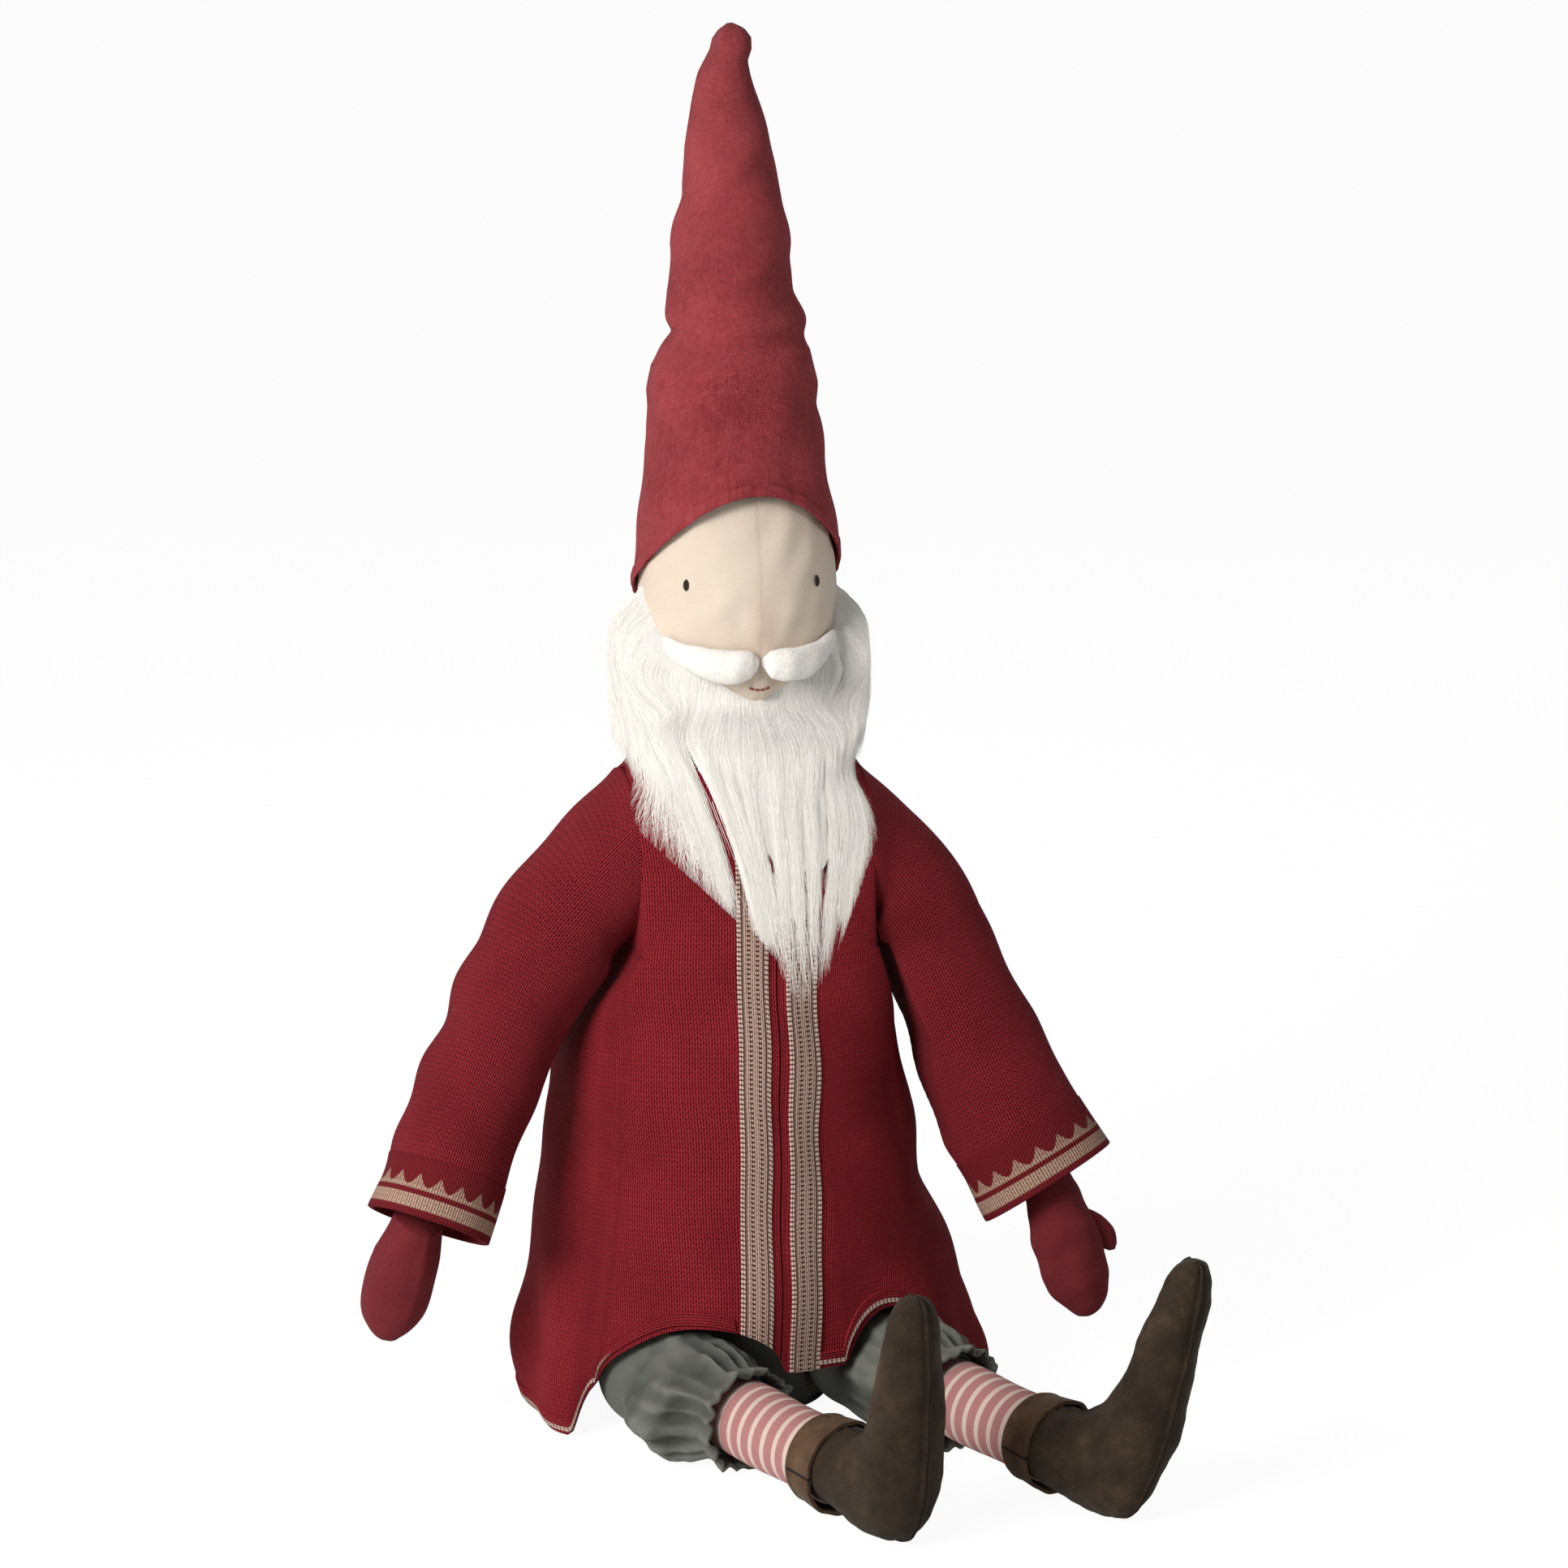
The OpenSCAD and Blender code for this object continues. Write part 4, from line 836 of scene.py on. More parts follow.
def band_finish(name, core_pale, core_stitch_shade):
    finish = Finish(name, 0.92)
    height, lit = finish.use(knit_stitch, finish.place.scaled(1.0 / BAND_WALE, 1.0 / COURSE, 1.0))
    broad, fine = finish.use(mottle, finish.spot, 0.05)
    from_edge = (finish.place.axis("X") / BAND_WIDE).away(0.5) * -1.0 + 0.5
    row = (finish.place.axis("Y") / COURSE).part().away(0.5)
    # Painted shade: the core's darker colour goes into the hollows between the stitches.
    core = finish.blend(lit.step(0.15, 0.85), core_stitch_shade, finish.blend(fine, core_pale, dye(196, 168, 152)))
    dots = from_edge.away(0.36).drop(0.03, 0.08)
    core = finish.blend(dots * row.drop(0.12, 0.3), core, dye(70, 40, 36))
    bead = finish.blend(row.step(0.18, 0.42), dye(226, 204, 190), dye(112, 74, 68))
    groove = from_edge.away(0.16).drop(0.015, 0.04)
    tone = finish.blend(from_edge.step(0.12, 0.14), bead, core)
    finish.colour(finish.blend(groove * 0.85, tone, dye(66, 30, 30)))
    finish.bump(height - groove * 0.8 - row * from_edge.drop(0.1, 0.16), 0.9)
    return finish


pale_band = band_finish("pale_patterned_band", dye(212, 181, 168), dye(140, 102, 92))
dark_band = band_finish("dark_patterned_band", dye(184, 158, 144), dye(84, 61, 55))
hem_knit = knit_finish("hem_band_knit", dye(172, 45, 57), dye(144, 33, 44), dye(52, 6, 11))
bead = (hem_knit.place.axis("Y") / COURSE).part().away(0.5)
pale = hem_knit.blend(bead.step(0.2, 0.45), dye(224, 200, 186), dye(150, 108, 100))
plain = Wire(hem_knit.tree, hem_knit.shader.inputs["Base Color"].links[0].from_socket)
shown = hem_knit.place.axis("X").drop(2.1, 2.5) * hem_knit.place.axis("Z")
hem_knit.colour(hem_knit.blend(shown, plain, pale))
for side in ("right", "left"):
    grid = front_grid(side, BAND_NEAR, BAND_NEAR + BAND_WIDE, 170, 14, BAND_WALL)[:157]
    grid = grid if side == "left" else grid[:, ::-1]
    weave = grid_weave(grid)
    weave[..., 0] *= BAND_WIDE / weave[:, -1:, 0]
    piece = cloth(side + "_front_woven_band", grid, weave, around=False)
    walled(piece, BAND_WALL)
    dress(piece, pale_band if side == "right" else dark_band, "body", side + "_front_band")

hem_from = open_turn(np.array(HIP_Z), HEM_START)
hem_to = open_turn(np.array(HIP_Z), -HEM_START)
turns = np.linspace(hem_from, 2 * math.pi + hem_to, 460)
rises = np.linspace(2.0, 8.0, 7)
level = hem_at(turns)[None, :] + rises[:, None]
grid = coat_point(turns[None, :] + 0.0 * level, level, BAND_WALL)
weave = grid_weave(grid)[..., ::-1]
over_thigh = ease((88.0 + grid[..., 0]) / 10.0) * ease((-14.0 - grid[..., 0]) / 8.0)
rolled = over_thigh * ease((-30.0 - grid[..., 1]) / 10.0)
weave = np.concatenate([weave, 1.0 - rolled[..., None]], axis=-1)
piece = cloth("hem_woven_band", grid, weave, around=False)
walled(piece, BAND_WALL)
dress(piece, hem_knit, "body", "hem_band")

turns = np.linspace(0.0, 2 * math.pi, 160, endpoint=False)
rises = np.linspace(0.0, NECK_BAND_H, 9)[:, None]
lean = rises * 0.25
roll = 0.6 * np.sin(rises / NECK_BAND_H * math.pi)
wide = (NECK_HALF - lean + roll) * np.sin(turns)
deep = (NECK_DEEP - lean + roll) * np.cos(turns)
grid = np.stack([wide, -deep, NECK_Z + 0.15 + rises + 0.0 * turns], axis=-1)
weave = even_weave(9, 161, 292.0, BAND_WIDE)[..., ::-1].copy()
piece = cloth("neck_woven_band", grid, weave)
walled(piece, 2.0)
dress(piece, pale_band, "body", "neck_band")

# Sleeves: wide knitted tubes set into round armholes, with a patterned border knitted in at the cuff
# The stuffed arm inside is thinner, so the knit sags in soft folds.
ARM_SIDE = {"right": -1.0, "left": 1.0}
ARM_REACH = {"right": 106.0, "left": 82.0}
ARM_FORWARD = {"right": 52.0, "left": 63.0}
CUFF_DROP = 162.0
CUFF_OUT = {"right": 0.253, "left": 0.4}
ARM_LEAD = {"right": (0.5, 0.28), "left": (0.34, 0.22)}
CUFF_FLAT = {"right": 0.93, "left": 1.13}
SLEEVE_X = 58.1
SLEEVE_STITCHES = 76
CUFF_STITCHES = 72
CUFF_BAND = (0.865, 0.9985)
SEAM_DEEP = 2.6
SLEEVE_R = [(0, 42), (0.15, 36.5), (0.35, 31.8), (0.6, 30), (1, 31)]


def sleeve_frame(side, s):
    """The middle line of a sleeve and two directions across it."""
    sign = ARM_SIDE[side]
    a = np.array((sign * SLEEVE_X, 0.0, SHOULDER_Z))
    b = a + np.array((sign * ARM_REACH[side], -ARM_FORWARD[side], -CUFF_DROP))
    far, down = ARM_LEAD[side]
    lead = np.array((sign * ARM_REACH[side] * far, -ARM_FORWARD[side] * 0.15, -CUFF_DROP * down))
    trail = np.array((sign * ARM_REACH[side] * CUFF_OUT[side], -ARM_FORWARD[side] * 0.4, -CUFF_DROP * 0.36))
    knots = (a, a + lead, b - trail, b)
    s = s[:, None]
    u = 1.0 - s
    middle = u ** 3 * knots[0] + 3 * u * u * s * knots[1] + 3 * u * s * s * knots[2] + s ** 3 * knots[3]
    way = u * u * (knots[1] - knots[0]) + 2 * u * s * (knots[2] - knots[1]) + s * s * (knots[3] - knots[2])
    way /= np.linalg.norm(way, axis=1, keepdims=True)
    way = np.array((sign, 0.0, 0.0)) + (way - np.array((sign, 0.0, 0.0))) * ease(s * 3.0)
    way /= np.linalg.norm(way, axis=1, keepdims=True)
    p = np.array((0.0, 1.0, 0.0)) - way[:, 1:2] * way
    p /= np.linalg.norm(p, axis=1, keepdims=True)
    return middle, p, np.cross(way, p)


def sleeve_grid(side, stops, columns, out):
    middle, p, q = sleeve_frame(side, stops)
    angle = np.linspace(0.0, 2 * math.pi, columns, endpoint=False)
    s = stops[:, None]
    sag = ease(s * 6.0) * (1.0 - 0.6 * ease((s - 0.8) / 0.2))
    inner = 0.5 + 0.5 * np.cos(angle + 0.5)
    fold = 1.5 * np.sin(2 * math.pi * (5.2 * s + 0.16 * np.sin(2 * angle) + 0.1 * np.cos(angle))) * inner
    fold = fold + 0.9 * np.sin(2 * math.pi * (3.1 * s - 0.35 * np.cos(angle)) + 1.0)
    flat = 1.0 + (CUFF_FLAT[side] - 1.0) * ease(s * 2.0)
    deep = (table(s, SLEEVE_R) * (2.0 - flat) + sag * fold + out) * np.cos(angle)
    wide = (table(s, SLEEVE_R) * flat + sag * fold + out) * np.sin(angle)
    grid = middle[:, None] + deep[..., None] * p[:, None] + wide[..., None] * q[:, None]
    sign = ARM_SIDE[side]
    z = grid[..., 2]
    high = 60.8 - 2.7 * np.clip((z - ARMPIT_Z) / 16.0, 0.0, 1.0)
    nearest = np.where(z < ARMPIT_Z, table(z - 6.0, COAT_SIDE) + sign * coat_middle(z) + 3.2, high) - out
    nearest = nearest + 0.8 * sag * np.sin(z / 7.0)
    grid[..., 0] = np.where(s > 0.0, sign * np.maximum(sign * grid[..., 0], nearest), grid[..., 0])
    return grid


def tube_weave(grid, stitches):
    """Weave places of a tube with a whole number of knit columns round it."""
    length = np.linalg.norm(np.diff(grid.mean(axis=1), axis=0), axis=1)
    v = np.concatenate([[0.0], np.cumsum(length)])
    u = np.linspace(0.0, stitches * WALE, grid.shape[1] + 1)
    return np.stack(np.meshgrid(u, v), axis=-1)


# Painted shade: the sleeves use the coat's knit made darker, as the sleeves stand in shade.
shaded_sleeve_knit = knit_finish("shaded_sleeve_knit", dye(158, 43, 54), dye(130, 31, 41), dye(44, 5, 10))
cuff_knit = Finish("cuff_border_knit", 0.92)
height, lit = cuff_knit.use(knit_stitch, cuff_knit.place.scaled(1.0 / WALE, 1.0 / COURSE, 1.0))
broad, fine = cuff_knit.use(mottle, cuff_knit.spot, 0.05)
from_edge = cuff_knit.place.axis("Y")
column = cuff_knit.place.axis("X") / (4 * WALE)
peak = (column.part().away(0.5) * 2.0).op("POWER", 1.6) * 6.0 + 13.0
border = from_edge.step(2.8, 3.2) * from_edge.drop(9.0, 9.5)
line = from_edge.step(11.6, 12.0) * from_edge.drop(13.2, 13.6)
crown = from_edge.step(12.4, 12.8) * (from_edge - peak).drop(0.0, 0.6)
speck = (cuff_knit.place.axis("X") / WALE).part().away(0.5).step(0.3, 0.42)
pale = (border + line + crown * 0.8).op("MINIMUM", 1.0) * (speck * -0.25 + 1.0)
pale_yarn = cuff_knit.blend(fine, dye(168, 134, 116), dye(198, 168, 148))
yarn = cuff_knit.blend(pale, dye(116, 28, 36), pale_yarn)
# Painted shade: dye(58, 16, 18) darkens the border in the hollows between the stitches.
cuff_knit.colour(cuff_knit.blend(lit.step(0.05, 0.8), dye(58, 16, 18), yarn))
cuff_knit.bump(height, 0.65)
for side in ("right", "left"):
    sign = ARM_SIDE[side]
    stops = np.linspace(0.0, 1.0, 150)
    grid = sleeve_grid(side, stops, 120, 0.0)
    root = grid[:1] + np.array((-sign * SEAM_DEEP, 0.0, 0.0))
    root[..., 1:] = root[..., 1:] * 0.985 + np.array((0.0, SHOULDER_Z)) * 0.015
    allowance = root.copy()
    allowance[..., 1:] = root[..., 1:] * 0.88 + np.array((0.0, SHOULDER_Z)) * 0.12
    grid = np.concatenate([allowance, root, grid])
    piece = cloth(side + "_coat_sleeve", grid, tube_weave(grid, SLEEVE_STITCHES))
    walled(piece, COAT_WALL)
    dress(piece, shaded_sleeve_knit, side + "_arm_body", side + "_sleeve")
    grid = sleeve_grid(side, np.linspace(*CUFF_BAND, 40), 120, 0.5)
    weave = tube_weave(grid, CUFF_STITCHES)
    weave[..., 1] = weave[-1, 0, 1] - weave[..., 1]
    piece = cloth(side + "_cuff_border", grid, weave)
    walled(piece, 0.6)
    dress(piece, cuff_knit, side + "_arm_body", side + "_cuff_band")

# Mittens: red felt, two shapes sewn edge to edge and lightly stuffed, pulled over the end of each arm
# The seam stands up as a narrow lip, and the thumb is a small shape of its own, set into the side.
felt = Finish("mitten_felt", 0.95, 0.12, weave=False)
felt.shader.inputs["Sheen Tint"].default_value = dye(200, 110, 110)
broad, fine = felt.use(mottle, felt.spot, 0.05)
fibre = felt.spot.scaled(1.0, 1.0, 0.4).noise(1.6, 4.0, 0.7)
shade = felt.blend(broad, dye(116, 38, 45), dye(140, 54, 60))
felt.colour(felt.blend(fibre, dye(84, 24, 30), shade))
felt.bump(fibre, 0.5)
MITTEN = np.array([(0, 0.72, 0.7), (0.16, 0.8, 0.82), (0.42, 1, 1), (0.68, 1, 0.98), (0.86, 0.78, 0.76),
                   (0.97, 0.42, 0.42), (1, 0.16, 0.14)])
THUMB = np.array([(0.3, 0.5, 0.38), (0.38, 0.9, 0.42), (0.5, 1.2, 0.4), (0.6, 1.36, 0.3),
                  (0.65, 1.42, 0.12)])
THUMB_SIDE = {"right": (-0.3, 1.0, 0.0), "left": (1.0, 0.1, 0.0)}
MITTEN_L = 72.0
MITTEN_HALF = 16.5
ARM_X = 72.1


def unit(v):
    return v / np.linalg.norm(v)


def felt_ring(wrist, way, thumb, row_at, row_out, wide, thick, columns):
    angle = np.linspace(0.0, 2 * math.pi, columns, endpoint=False)
    side_way = np.cross(way, thumb)
    middle = wrist + row_at[:, None] * way + row_out[:, None] * thumb
    seam = np.abs((angle + math.pi / 2) % math.pi - math.pi / 2)
    lip = 1.0 + 0.07 * np.exp(-(seam / 0.12) ** 2)
    across = (wide[:, None] * np.cos(angle) * lip)[..., None] * thumb
    return middle[:, None] + across + (thick[:, None] * np.sin(angle))[..., None] * side_way


for seed, side in enumerate(("right", "left")):
    sign = ARM_SIDE[side]
    start = np.array((sign * ARM_X, 0.0, SHOULDER_Z))
    end_point = np.array((sign * (SLEEVE_X + ARM_REACH[side]), -ARM_FORWARD[side], SHOULDER_Z - CUFF_DROP))
    arm_way = unit(end_point - start)
    wrist = end_point - 4.0 * arm_way - np.array((6.0 if side == "right" else 0.0, 0.0, 0.0))
    hang = arm_way + np.array((0.0, 0.0, -0.45)) if side == "left" else np.array((-0.2, 0.36, -0.91))
    way = unit(hang)
    thumb = np.array(THUMB_SIDE[side])
    thumb = unit(thumb - (thumb @ way) * way)
    rows = smooth_rows(MITTEN, 60)
    at, wide, thick = rows[:, 0] * MITTEN_L, rows[:, 1] * MITTEN_HALF, rows[:, 2] * MITTEN_HALF
    hand = felt_ring(wrist, way, thumb, at, 0.0 * at, wide, thick, 56)
    rows = smooth_rows(THUMB, 34)
    at, out, thick = rows[:, 0] * MITTEN_L, rows[:, 1] * MITTEN_HALF * 0.92, rows[:, 2] * MITTEN_HALF
    spur = felt_ring(wrist, way, thumb, at, out, thick, thick * 0.95, 40)
    for name, grid in (("_felt_mitten", hand), ("_felt_thumb", spur)):
        grid = grid[:, ::-1]
        grid = pushed(grid, 0.45 * ripples(seed + 31, grid, 18.0))
        weave = even_weave(len(grid), grid.shape[1] + 1, 90.0, MITTEN_L)
        piece = cloth(side + name, grid, weave, caps=(True, True))
        dress(piece, felt, side + "_arm_body", side + "_mitten")

# Head: two panels of cream linen sewn together down the face and the back, stuffed hard
# A touch of rouge is rubbed along the lower half of the face seam.
WIDEST_Z = 405.0
HEAD_LOW_Z = 340.0
HEAD_R = 47.5
CROWN_H = 73.0
CHIN_H = 71.5
NOSE_Z = 389.0
LIPS_Z = 363.0
ROUGE_Z = 391.0


def head_at(z):
    up = np.where(z > WIDEST_Z, CROWN_H, CHIN_H)
    return HEAD_R * np.sqrt(np.maximum(0.0, 1.0 - ((z - WIDEST_Z) / up) ** 2))


def face_rise(turn, z):
    """How far the nose and the lips stand out from the round head."""
    across = turn * HEAD_R
    nose = 1.6 * np.exp(-(across / 7.0) ** 2 - ((z - NOSE_Z) / 11.0) ** 2)
    return nose + 6.0 * np.exp(-(across / 9.0) ** 2 - ((z - LIPS_Z) / 8.0) ** 2)


def round_point(turn, r, z):
    """A point at a turn from the front, positive to the figure's left, a radius and a level."""
    return np.stack([r * np.sin(turn), -r * np.cos(turn), z + 0.0 * turn], axis=-1)


face_linen = Finish("face_linen", 0.9, 0.03)
height, slub = face_linen.use(plain_weave, face_linen.place, 2.0)
broad, fine = face_linen.use(mottle, face_linen.spot, 0.05)
plain = face_linen.blend(slub * 0.5 + broad * 0.5, dye(238, 219, 198), dye(252, 237, 220))
side_way = face_linen.spot.axis("X").away(0.0)
up_way = face_linen.spot.axis("Z").away(ROUGE_Z)
front = (face_linen.spot.axis("Y") * -1.0).step(20.0, 40.0)
rouge = side_way.drop(1.0, 9.0) * up_way.drop(6.0, 22.0) * front
tone = face_linen.blend(rouge * 0.18, plain, dye(222, 160, 142))
seam = side_way.drop(0.25, 1.1)
face_linen.colour(face_linen.blend(seam * 0.14, tone, dye(176, 142, 120)))
face_linen.bump(height, 0.22)
for side, sign in (("right", -1.0), ("left", 1.0)):
    tall = WIDEST_Z + CROWN_H - 0.2 - HEAD_LOW_Z
    z = HEAD_LOW_Z + tall * (1.0 - np.cos(np.linspace(0.0, math.pi, 90))) / 2
    turn = np.linspace(0.0, math.pi, 110)[None, :]
    edge = np.minimum(turn, math.pi - turn) * HEAD_R
    groove = -0.1 * np.exp(-(edge / 1.4) ** 2)
    level = z[:, None]
    skin = head_at(level) + groove * ease((WIDEST_Z + CROWN_H - level) / 20.0) + face_rise(turn, level)
    grid = round_point(sign * turn, skin, level)
    grid = grid if sign > 0 else grid[:, ::-1]
    grid = pushed(grid, 0.25 * ripples(41, grid, 20.0), around=False)
    grid[:, (0, -1), 0] = 0.0
    piece = cloth(side + "_face_panel", grid, grid_weave(grid), around=False)
    walled(piece, 1.2)
    dress(piece, face_linen, "body", "head_%s_panel" % side)

# Eyes and mouth: cotton thread, embroidered through the linen of the face
# Each eye is six upright stitches of dark thread, and the mouth is four small red-brown back stitches.


def stitches(name, paths, radius, finish, node):
    """Short rounded threads along paths of points in mm."""
    points = []
    faces = []
    columns = 8
    for path in paths:
        path = np.asarray(path, dtype=float)
        way = np.gradient(path, axis=0)
        way /= np.linalg.norm(way, axis=1, keepdims=True)
        side_dir = np.cross(way, (0.31, 0.87, 0.4))
        side_dir /= np.linalg.norm(side_dir, axis=1, keepdims=True)
        up_dir = np.cross(way, side_dir)
        angle = np.linspace(0.0, 2 * math.pi, columns, endpoint=False)
        share = np.linspace(-1.0, 1.0, len(path))
        thick = radius * np.sqrt(np.maximum(1.0 - share ** 6, 0.02))
        ring = np.cos(angle)[None, :, None] * side_dir[:, None]
        ring = ring + np.sin(angle)[None, :, None] * up_dir[:, None]
        start = len(points)
        points += [tuple(p) for p in (path[:, None] + thick[:, None, None] * ring).reshape(-1, 3) * MM]
        for i in range(len(path) - 1):
            for j in range(columns):
                k = (j + 1) % columns
                a = start + i * columns
                faces.append((a + j, a + columns + j, a + columns + k, a + k))
        faces.append(tuple(start + j for j in range(columns)))
        faces.append(tuple(start + (len(path) - 1) * columns + j for j in reversed(range(columns))))
    dress(placed(name, smooth_mesh(name, points, faces)), finish, "body", node)


def thread_finish(name, deep, pale):
    finish = Finish(name, 0.5, 0.1, weave=False)
    ply = (finish.spot.axis("Z") * 1.6 + finish.spot.axis("X") * 1.1).wave()
    finish.colour(finish.blend(ply, deep, pale))
    finish.bump(ply, 0.1)
    return finish


eye_thread = thread_finish("eye_thread", dye(30, 22, 18), dye(58, 46, 38))
mouth_thread = thread_finish("mouth_thread", dye(128, 60, 46), dye(164, 88, 70))
EYE_Z = 412.0
MOUTH_Z = 362.2
MOUTH_HALF = 4.6
for side, turn in (("right", -44.0), ("left", 38.0)):
    paths = []
    for k in np.linspace(-1.0, 1.0, 6):
        tall = 2.9 * math.sqrt(1.0 - 0.62 * k * k)
        z = EYE_Z + np.linspace(-tall, tall, 9)
        at = math.radians(turn) + k * 1.05 / HEAD_R
        bow = 0.35 + 0.35 * np.sqrt(np.maximum(0.0, 1.0 - ((z - EYE_Z) / 3.2) ** 2))
        paths.append(round_point(np.full(9, at), head_at(z) + bow, z))
    stitches(side + "_eye_stitches", paths, 0.42, eye_thread, side + "_eye")
paths = []
for k in range(4):
    across = -MOUTH_HALF + 2.0 * MOUTH_HALF * (k + np.linspace(0.04, 0.96, 7)) / 4
    z = MOUTH_Z + 0.045 * across ** 2
    paths.append(round_point(across / head_at(z), head_at(z) + face_rise(across / head_at(z), z) + 0.5, z))
stitches("mouth_stitches", paths, 0.55, mouth_thread, "mouth_stitch")

# Moustache: two lobes of felted white wool, needled to the face under the nose
# Each lobe is fullest near the nose and thins out round the cheek; short loose fibres lie over it.
wool = Finish("felted_wool", 0.95, 0.3, weave=False)
fluff = wool.spot.noise(0.9, 5.0, 0.7)
wool.colour(wool.blend(fluff.step(0.3, 0.7), dye(224, 220, 213), dye(250, 248, 244)))
wool.bump(fluff, 0.35)
wool.shader.inputs["Subsurface Weight"].default_value = 0.15
wool.shader.inputs["Subsurface Scale"].default_value = 0.004


def strands(name, paths, widths, facing, normals):
    """Flat tapered wool fibres along many paths, as one mesh that is shaded like the wool under it."""
    count, steps = paths.shape[:2]
    way = np.gradient(paths, axis=1)
    across = np.cross(way, facing)
    across /= np.maximum(np.linalg.norm(across, axis=2, keepdims=True), 1e-9)
    pair = np.stack([paths - widths[..., None] * across, paths + widths[..., None] * across], axis=2)
    points = pair.reshape(-1, 3) * MM
    at = (np.arange(count)[:, None] * steps + np.arange(steps - 1)[None, :]).ravel() * 2
    quads = np.stack([at, at + 1, at + 3, at + 2], axis=-1)
    mesh = smooth_mesh(name, points, quads)
    normals = np.repeat(normals[:, :, None], 2, axis=2).reshape(-1, 3)
    normals = normals / np.maximum(np.linalg.norm(normals, axis=1, keepdims=True), 1e-9)
    mesh.normals_split_custom_set_from_vertices(normals)
    places = mesh.attributes.new("weave", "FLOAT_VECTOR", "POINT")
    shade = np.zeros((len(points), 3), dtype=np.float32)
    shade[:, 2] = np.repeat(np.random.default_rng(count).random(count), 2 * steps)
    places.data.foreach_set("vector", shade.ravel())
    return placed(name, mesh)


def taper(count, steps, root, rng):
    share = np.linspace(0.0, 1.0, steps)
    return root * rng.uniform(0.6, 1.2, (count, 1)) * (1.0 - 0.8 * share ** 2)[None, :]


MOUSTACHE_Z = 375.4
MOUSTACHE_RISE = 9.4
MOUSTACHE_TURN = 61.5
for side, sign in (("right", -1.0), ("left", 1.0)):
    s = np.linspace(0.0, 1.0, 70)
    turn = sign * np.radians(0.5 + MOUSTACHE_TURN * s)
    z = MOUSTACHE_Z - 2.5 * np.sin(math.pi * s) + MOUSTACHE_RISE * s * s
    ends = np.sqrt(np.minimum(1.0, s / 0.09 + 0.05) * np.minimum(1.0, (1.0 - s) / 0.12 + 0.03))
    full = ends * (0.72 + 0.28 * ease(4.0 * s)) * (1.0 - 0.5 * ease((s - 0.35) / 0.65))
    angle = np.linspace(0.0, 2 * math.pi, 44, endpoint=False)
    lift = 5.0 * full[:, None] * (1.0 + np.cos(angle)[None, :]) + head_at(z)[:, None] + 0.6
    grid = round_point(turn[:, None] + 0.0 * angle, lift, z[:, None] + 8.0 * full[:, None] * np.sin(angle))
    grid = grid if sign > 0 else grid[:, ::-1]
    grid = pushed(grid, 0.25 * ripples(51, grid, 14.0))
    piece = cloth(side + "_wool_moustache", grid, even_weave(70, 45, 40.0, 50.0), caps=(True, True))
    dress(piece, wool, "body", side + "_moustache")
    rng = np.random.default_rng(52 + int(sign))
    count = 900
    i = rng.integers(1, 68, count)
    j = rng.integers(0, 44, count)
    root = grid[i, j]
    normal = outward(grid, True)[i, j]
    flow = grid[np.minimum(i + 2, 69), j] - root
    flow /= np.maximum(np.linalg.norm(flow, axis=1, keepdims=True), 1e-9)
    share = np.linspace(0.0, 1.0, 6)[None, :, None]
    length = rng.uniform(1.5, 3.5, (count, 1, 1))
    curl = rng.normal(0.0, 0.3, (count, 1, 3))
    paths = root[:, None] + length * share * (flow[:, None] + 0.25 * normal[:, None] + curl * share)
    facing = normal[:, None]
    widths = taper(count, 6, 0.12, rng)
    hairs = strands(side + "_moustache_fibres", paths, widths, facing, facing + 0.0 * paths)
    hairs.visible_shadow = False
    dress(hairs, wool, "body", side + "_moustache")

# Beard: combed white fleece, sewn round the cheeks and under the mouth and hanging to the chest
# Its fibres run together in tapering locks and end in thin wisps.
# Beard by turn in degrees: level of its upper and its lower edge; by level: radius of its cheeks
CHEEK_TOP = [(9, 360), (15, 361), (29, 364.5), (43, 370.5), (57, 378), (66, 386), (74, 393),
             (85, 405), (105, 402)]
BEARD_TOP = [(-at, z) for at, z in reversed(CHEEK_TOP)] + CHEEK_TOP
BEARD_FOOT = [(-105, 336), (-85, 329), (-74, 323), (-66, 312), (-54, 295), (-37, 277), (-16, 256),
              (3, 234), (10, 214), (18, 210), (28, 226), (42, 258), (52, 282), (60, 310), (66, 320),
              (82, 328), (105, 334)]
CHEEK_OUT = [(296, 58), (312, 60), (330, 61), (352, 62), (372, 62.5), (386, 61.5), (394, 58.5), (400, 54.5),
             (405, 49)]
BEARD_SPAN = 105.0
beard_wool = Finish("beard_wool", 0.9, 0.1)
broad, fine = beard_wool.use(mottle, beard_wool.spot, 0.06)
comb = beard_wool.spot.scaled(1.0, 1.0, 0.12).noise(1.1, 4.0, 0.6)
tone = beard_wool.place.axis("Z") * 0.5 + comb * 0.35 + broad * 0.15
beard_wool.colour(beard_wool.blend(tone, dye(202, 198, 192), dye(246, 244, 240)))
beard_wool.bump(comb, 0.4)


def coat_ray(turn, z):
    h = np.minimum(z, NECK_Z)
    ray = 1.0 / np.sqrt((np.sin(turn) / coat_half(h)) ** 2 + (np.cos(turn) / coat_depth(h)) ** 2)
    return np.minimum(ray, ARMHOLE_X / np.maximum(np.abs(np.sin(turn)), 0.2))


CHIN_Z = 354.0


def beard_in(turn, z):
    """Radius of the surface that the beard lies on: the face, the neck or the coat."""
    chin = head_at(np.array(CHIN_Z))
    hang = chin + (46.0 - chin) * ease((CHIN_Z - z) / 22.0)
    inner = np.maximum(hang, np.where(z > HEAD_LOW_Z, head_at(z), 0.0))
    rest = coat_ray(turn, z) + 1.15 - inner
    return inner + np.maximum(rest, 0.0) * ease((352.0 - z) / 21.0) + 1.2


